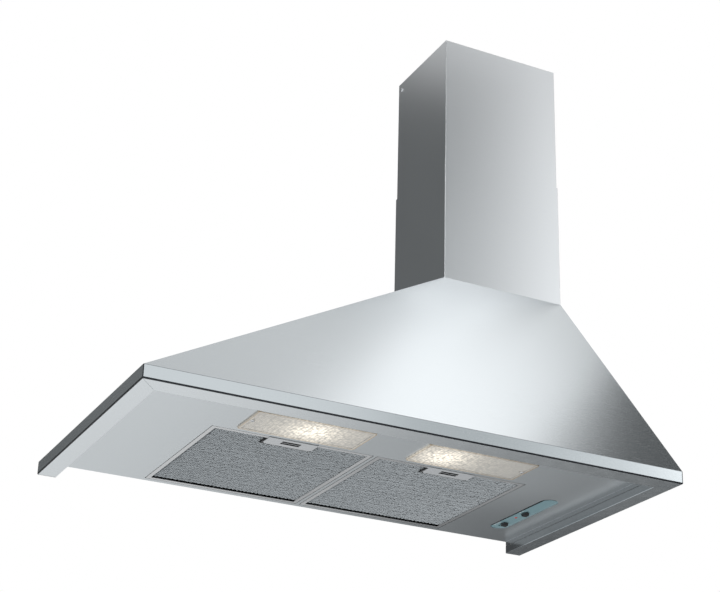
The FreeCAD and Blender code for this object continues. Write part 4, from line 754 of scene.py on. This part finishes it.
# ---------------------------------------------------------------- floor
# Pale plain floor, as far below the hood as the room's floor is below a hood over a hob. A pool of
# light fading to shade towards the right is painted into its colour and its glow, and the polished
# underside mirrors it; the camera sees the floor plain pale with a weaker glow.
FLOOR_DROP = 1.55
FLOOR_HALF = 9.0
FLOOR_PALE = (0.80, 0.80, 0.80)
FLOOR_SHADE = (0.04, 0.043, 0.046)
POOL_EDGE_X = (1.1, 2.8)
POOL_GLOW = 0.98
SEEN_GLOW = 0.62


def floor_pool_group():
    """Painted floor colour: a pool of light that fades to painted shade along X."""
    tree, given, result = effect_group(
        "floor_pool", {"Pale": FLOOR_PALE, "Shade": FLOOR_SHADE}, {"Colour": "NodeSocketColor"})
    _, axis = object_axes(tree)
    fade = shader_node(tree, "ShaderNodeMapRange", interpolation_type="SMOOTHSTEP", Value=axis["X"],
                       From_Min=POOL_EDGE_X[0], From_Max=POOL_EDGE_X[1], To_Min=0.0, To_Max=1.0)
    colour = colour_mix(tree, "MIX", fade.outputs[0], given.outputs["Pale"], given.outputs["Shade"])
    tree.links.new(colour, result.inputs["Colour"])
    return tree


floor_finish, tree, shader = new_finish("studio_floor", Roughness=0.8)
pool = place_group(tree, floor_pool_group())
rays = shader_node(tree, "ShaderNodeLightPath").outputs
floor_colour = colour_mix(tree, "MIX", rays["Is Camera Ray"], pool.outputs["Colour"], FLOOR_PALE)
for label in ("Base Color", "Emission Color"):
    tree.links.new(floor_colour, shader.inputs[label])
seen_glow = math_node(tree, "MULTIPLY", rays["Is Camera Ray"], SEEN_GLOW - POOL_GLOW)
tree.links.new(math_node(tree, "ADD", seen_glow, POOL_GLOW), shader.inputs["Emission Strength"])
bm = bmesh.new()
bmesh.ops.create_grid(bm, x_segments=1, y_segments=1, size=FLOOR_HALF,
                      matrix=Matrix.Translation((0, 0, -FLOOR_DROP)))
floor = mesh_object("studio_floor", bm, floor_finish)

# ---------------------------------------------------------------- studio light
# The room is white for the camera. What the metal mirrors is grey in front of the hood and dark above
# and behind it, and soft boxes hang there close by, so that each flat sheet shades from end to end.
ROOM_TONE = 0.68
DARK_SIDE = Vector((0.15, 0.75, 0.65))
DARK_SIDE_EDGE = (0.30, 0.75)
DARK_SIDE_CHANGE = -0.56
OVERHEAD_TURN = -math.radians(37.0)
UPPER_EDGE = (0.31, 0.58)
UPPER_TONE = 0.10
ROOM_TINT = (0.94, 0.985, 1.0)

world = bpy.data.worlds.new("studio")
bpy.context.scene.world = world
world.use_nodes = True
tree = world.node_tree
tree.nodes.clear()
direction = shader_node(tree, "ShaderNodeTexCoord").outputs["Generated"]
towards = shader_node(tree, "ShaderNodeVectorMath", operation="DOT_PRODUCT")
tree.links.new(direction, towards.inputs[0])
towards.inputs[1].default_value = DARK_SIDE.normalized()
shade = shader_node(tree, "ShaderNodeMapRange", interpolation_type="SMOOTHSTEP",
                    Value=towards.outputs["Value"], From_Min=DARK_SIDE_EDGE[0],
                    From_Max=DARK_SIDE_EDGE[1], To_Min=ROOM_TONE, To_Max=ROOM_TONE + DARK_SIDE_CHANGE)
height = shader_node(tree, "ShaderNodeSeparateXYZ", Vector=direction).outputs["Z"]
upper = shader_node(tree, "ShaderNodeMapRange", interpolation_type="SMOOTHSTEP", Value=height,
                    From_Min=UPPER_EDGE[0], From_Max=UPPER_EDGE[1], To_Min=ROOM_TONE, To_Max=UPPER_TONE)
level = math_node(tree, "MINIMUM", shade.outputs[0], upper.outputs[0])
tint = [math_node(tree, "MULTIPLY", level, share) for share in ROOM_TINT]
rays = shader_node(tree, "ShaderNodeLightPath").outputs
room = shader_node(tree, "ShaderNodeCombineColor", Red=tint[0], Green=tint[1], Blue=tint[2]).outputs[0]
seen = colour_mix(tree, "MIX", rays["Is Camera Ray"], room, (1.0, 1.0, 1.0))
sky = shader_node(tree, "ShaderNodeBackground", Color=seen, Strength=1.0)
tree.links.new(sky.outputs[0], shader_node(tree, "ShaderNodeOutputWorld").inputs[0])


def soft_box(name, place, aim, size, brightness, turn=0.0):
    """A flat lamp of even brightness that faces a point; the camera doesn't see it."""
    lamp = bpy.data.lights.new(name, "AREA")
    lamp.shape = "RECTANGLE"
    lamp.size, lamp.size_y = size
    lamp.energy = brightness * math.pi * size[0] * size[1]
    made = bpy.data.objects.new(name, lamp)
    made.location = place
    made.rotation_euler = (Vector(aim) - Vector(place)).to_track_quat("-Z", "Y").to_euler()
    made.rotation_euler.rotate_axis("Z", turn)
    made.visible_camera = False
    bpy.context.scene.collection.objects.link(made)
    return made


soft_box("key_softbox", (-1.6, -2.4, 1.9), (0.1, 0.0, 0.3), (1.4, 1.4), 4.0)
soft_box("overhead_softbox", (0.12, 0.1, 1.5), (0.12, 0.1, 0.0), (2.0, 1.0), 0.69, OVERHEAD_TURN)
soft_box("overhead_strip", (0.93, 0.12, 1.49), (0.93, 0.12, 0.0), (0.48, 1.2), 0.80, OVERHEAD_TURN)
soft_box("chimney_softbox", (1.28, -0.8, 0.95), (1.28, 0.2, 0.95), (0.86, 1.5), 1.15)
soft_box("band_softbox", (-0.42, -0.8, 0.3), (-0.42, 0.2, 0.3), (1.25, 0.6), 0.38)
soft_box("band_end_softbox", (0.80, -0.8, 0.22), (0.80, 0.2, 0.22), (0.55, 0.36), 0.22)
soft_box("side_softbox", (-0.75, 0.62, 0.25), (0.2, 0.62, 0.25), (0.5, 0.4), 0.10)

# ---------------------------------------------------------------- camera
# The camera stands low in front of the hood and to its left, and looks up under the canopy.
CAMERA_PLACE = (-1.1284, -2.2931, -0.8333)
CAMERA_YAW = 0.4554
CAMERA_PITCH = 0.4231
CAMERA_ROLL = 0.0278
CAMERA_FOCAL_PIXELS = 1692.6
PHOTO_WIDTH_PIXELS = 720
SENSOR_WIDTH_MM = 36.0
CAMERA_REACH = 60.0

camera_data = bpy.data.cameras.new("photo_camera")
camera_data.sensor_width = SENSOR_WIDTH_MM
camera_data.lens = CAMERA_FOCAL_PIXELS * camera_data.sensor_width / PHOTO_WIDTH_PIXELS
camera_data.clip_end = CAMERA_REACH
camera = bpy.data.objects.new("photo_camera", camera_data)
looking = Vector((math.sin(CAMERA_YAW) * math.cos(CAMERA_PITCH),
                  math.cos(CAMERA_YAW) * math.cos(CAMERA_PITCH), math.sin(CAMERA_PITCH)))
camera.location = CAMERA_PLACE
camera.rotation_mode = "QUATERNION"
camera.rotation_quaternion = looking.to_track_quat("-Z", "Y") @ Quaternion((0, 0, 1), CAMERA_ROLL)
bpy.context.scene.collection.objects.link(camera)
bpy.context.scene.camera = camera
bpy.context.scene.view_settings.view_transform = "Standard"
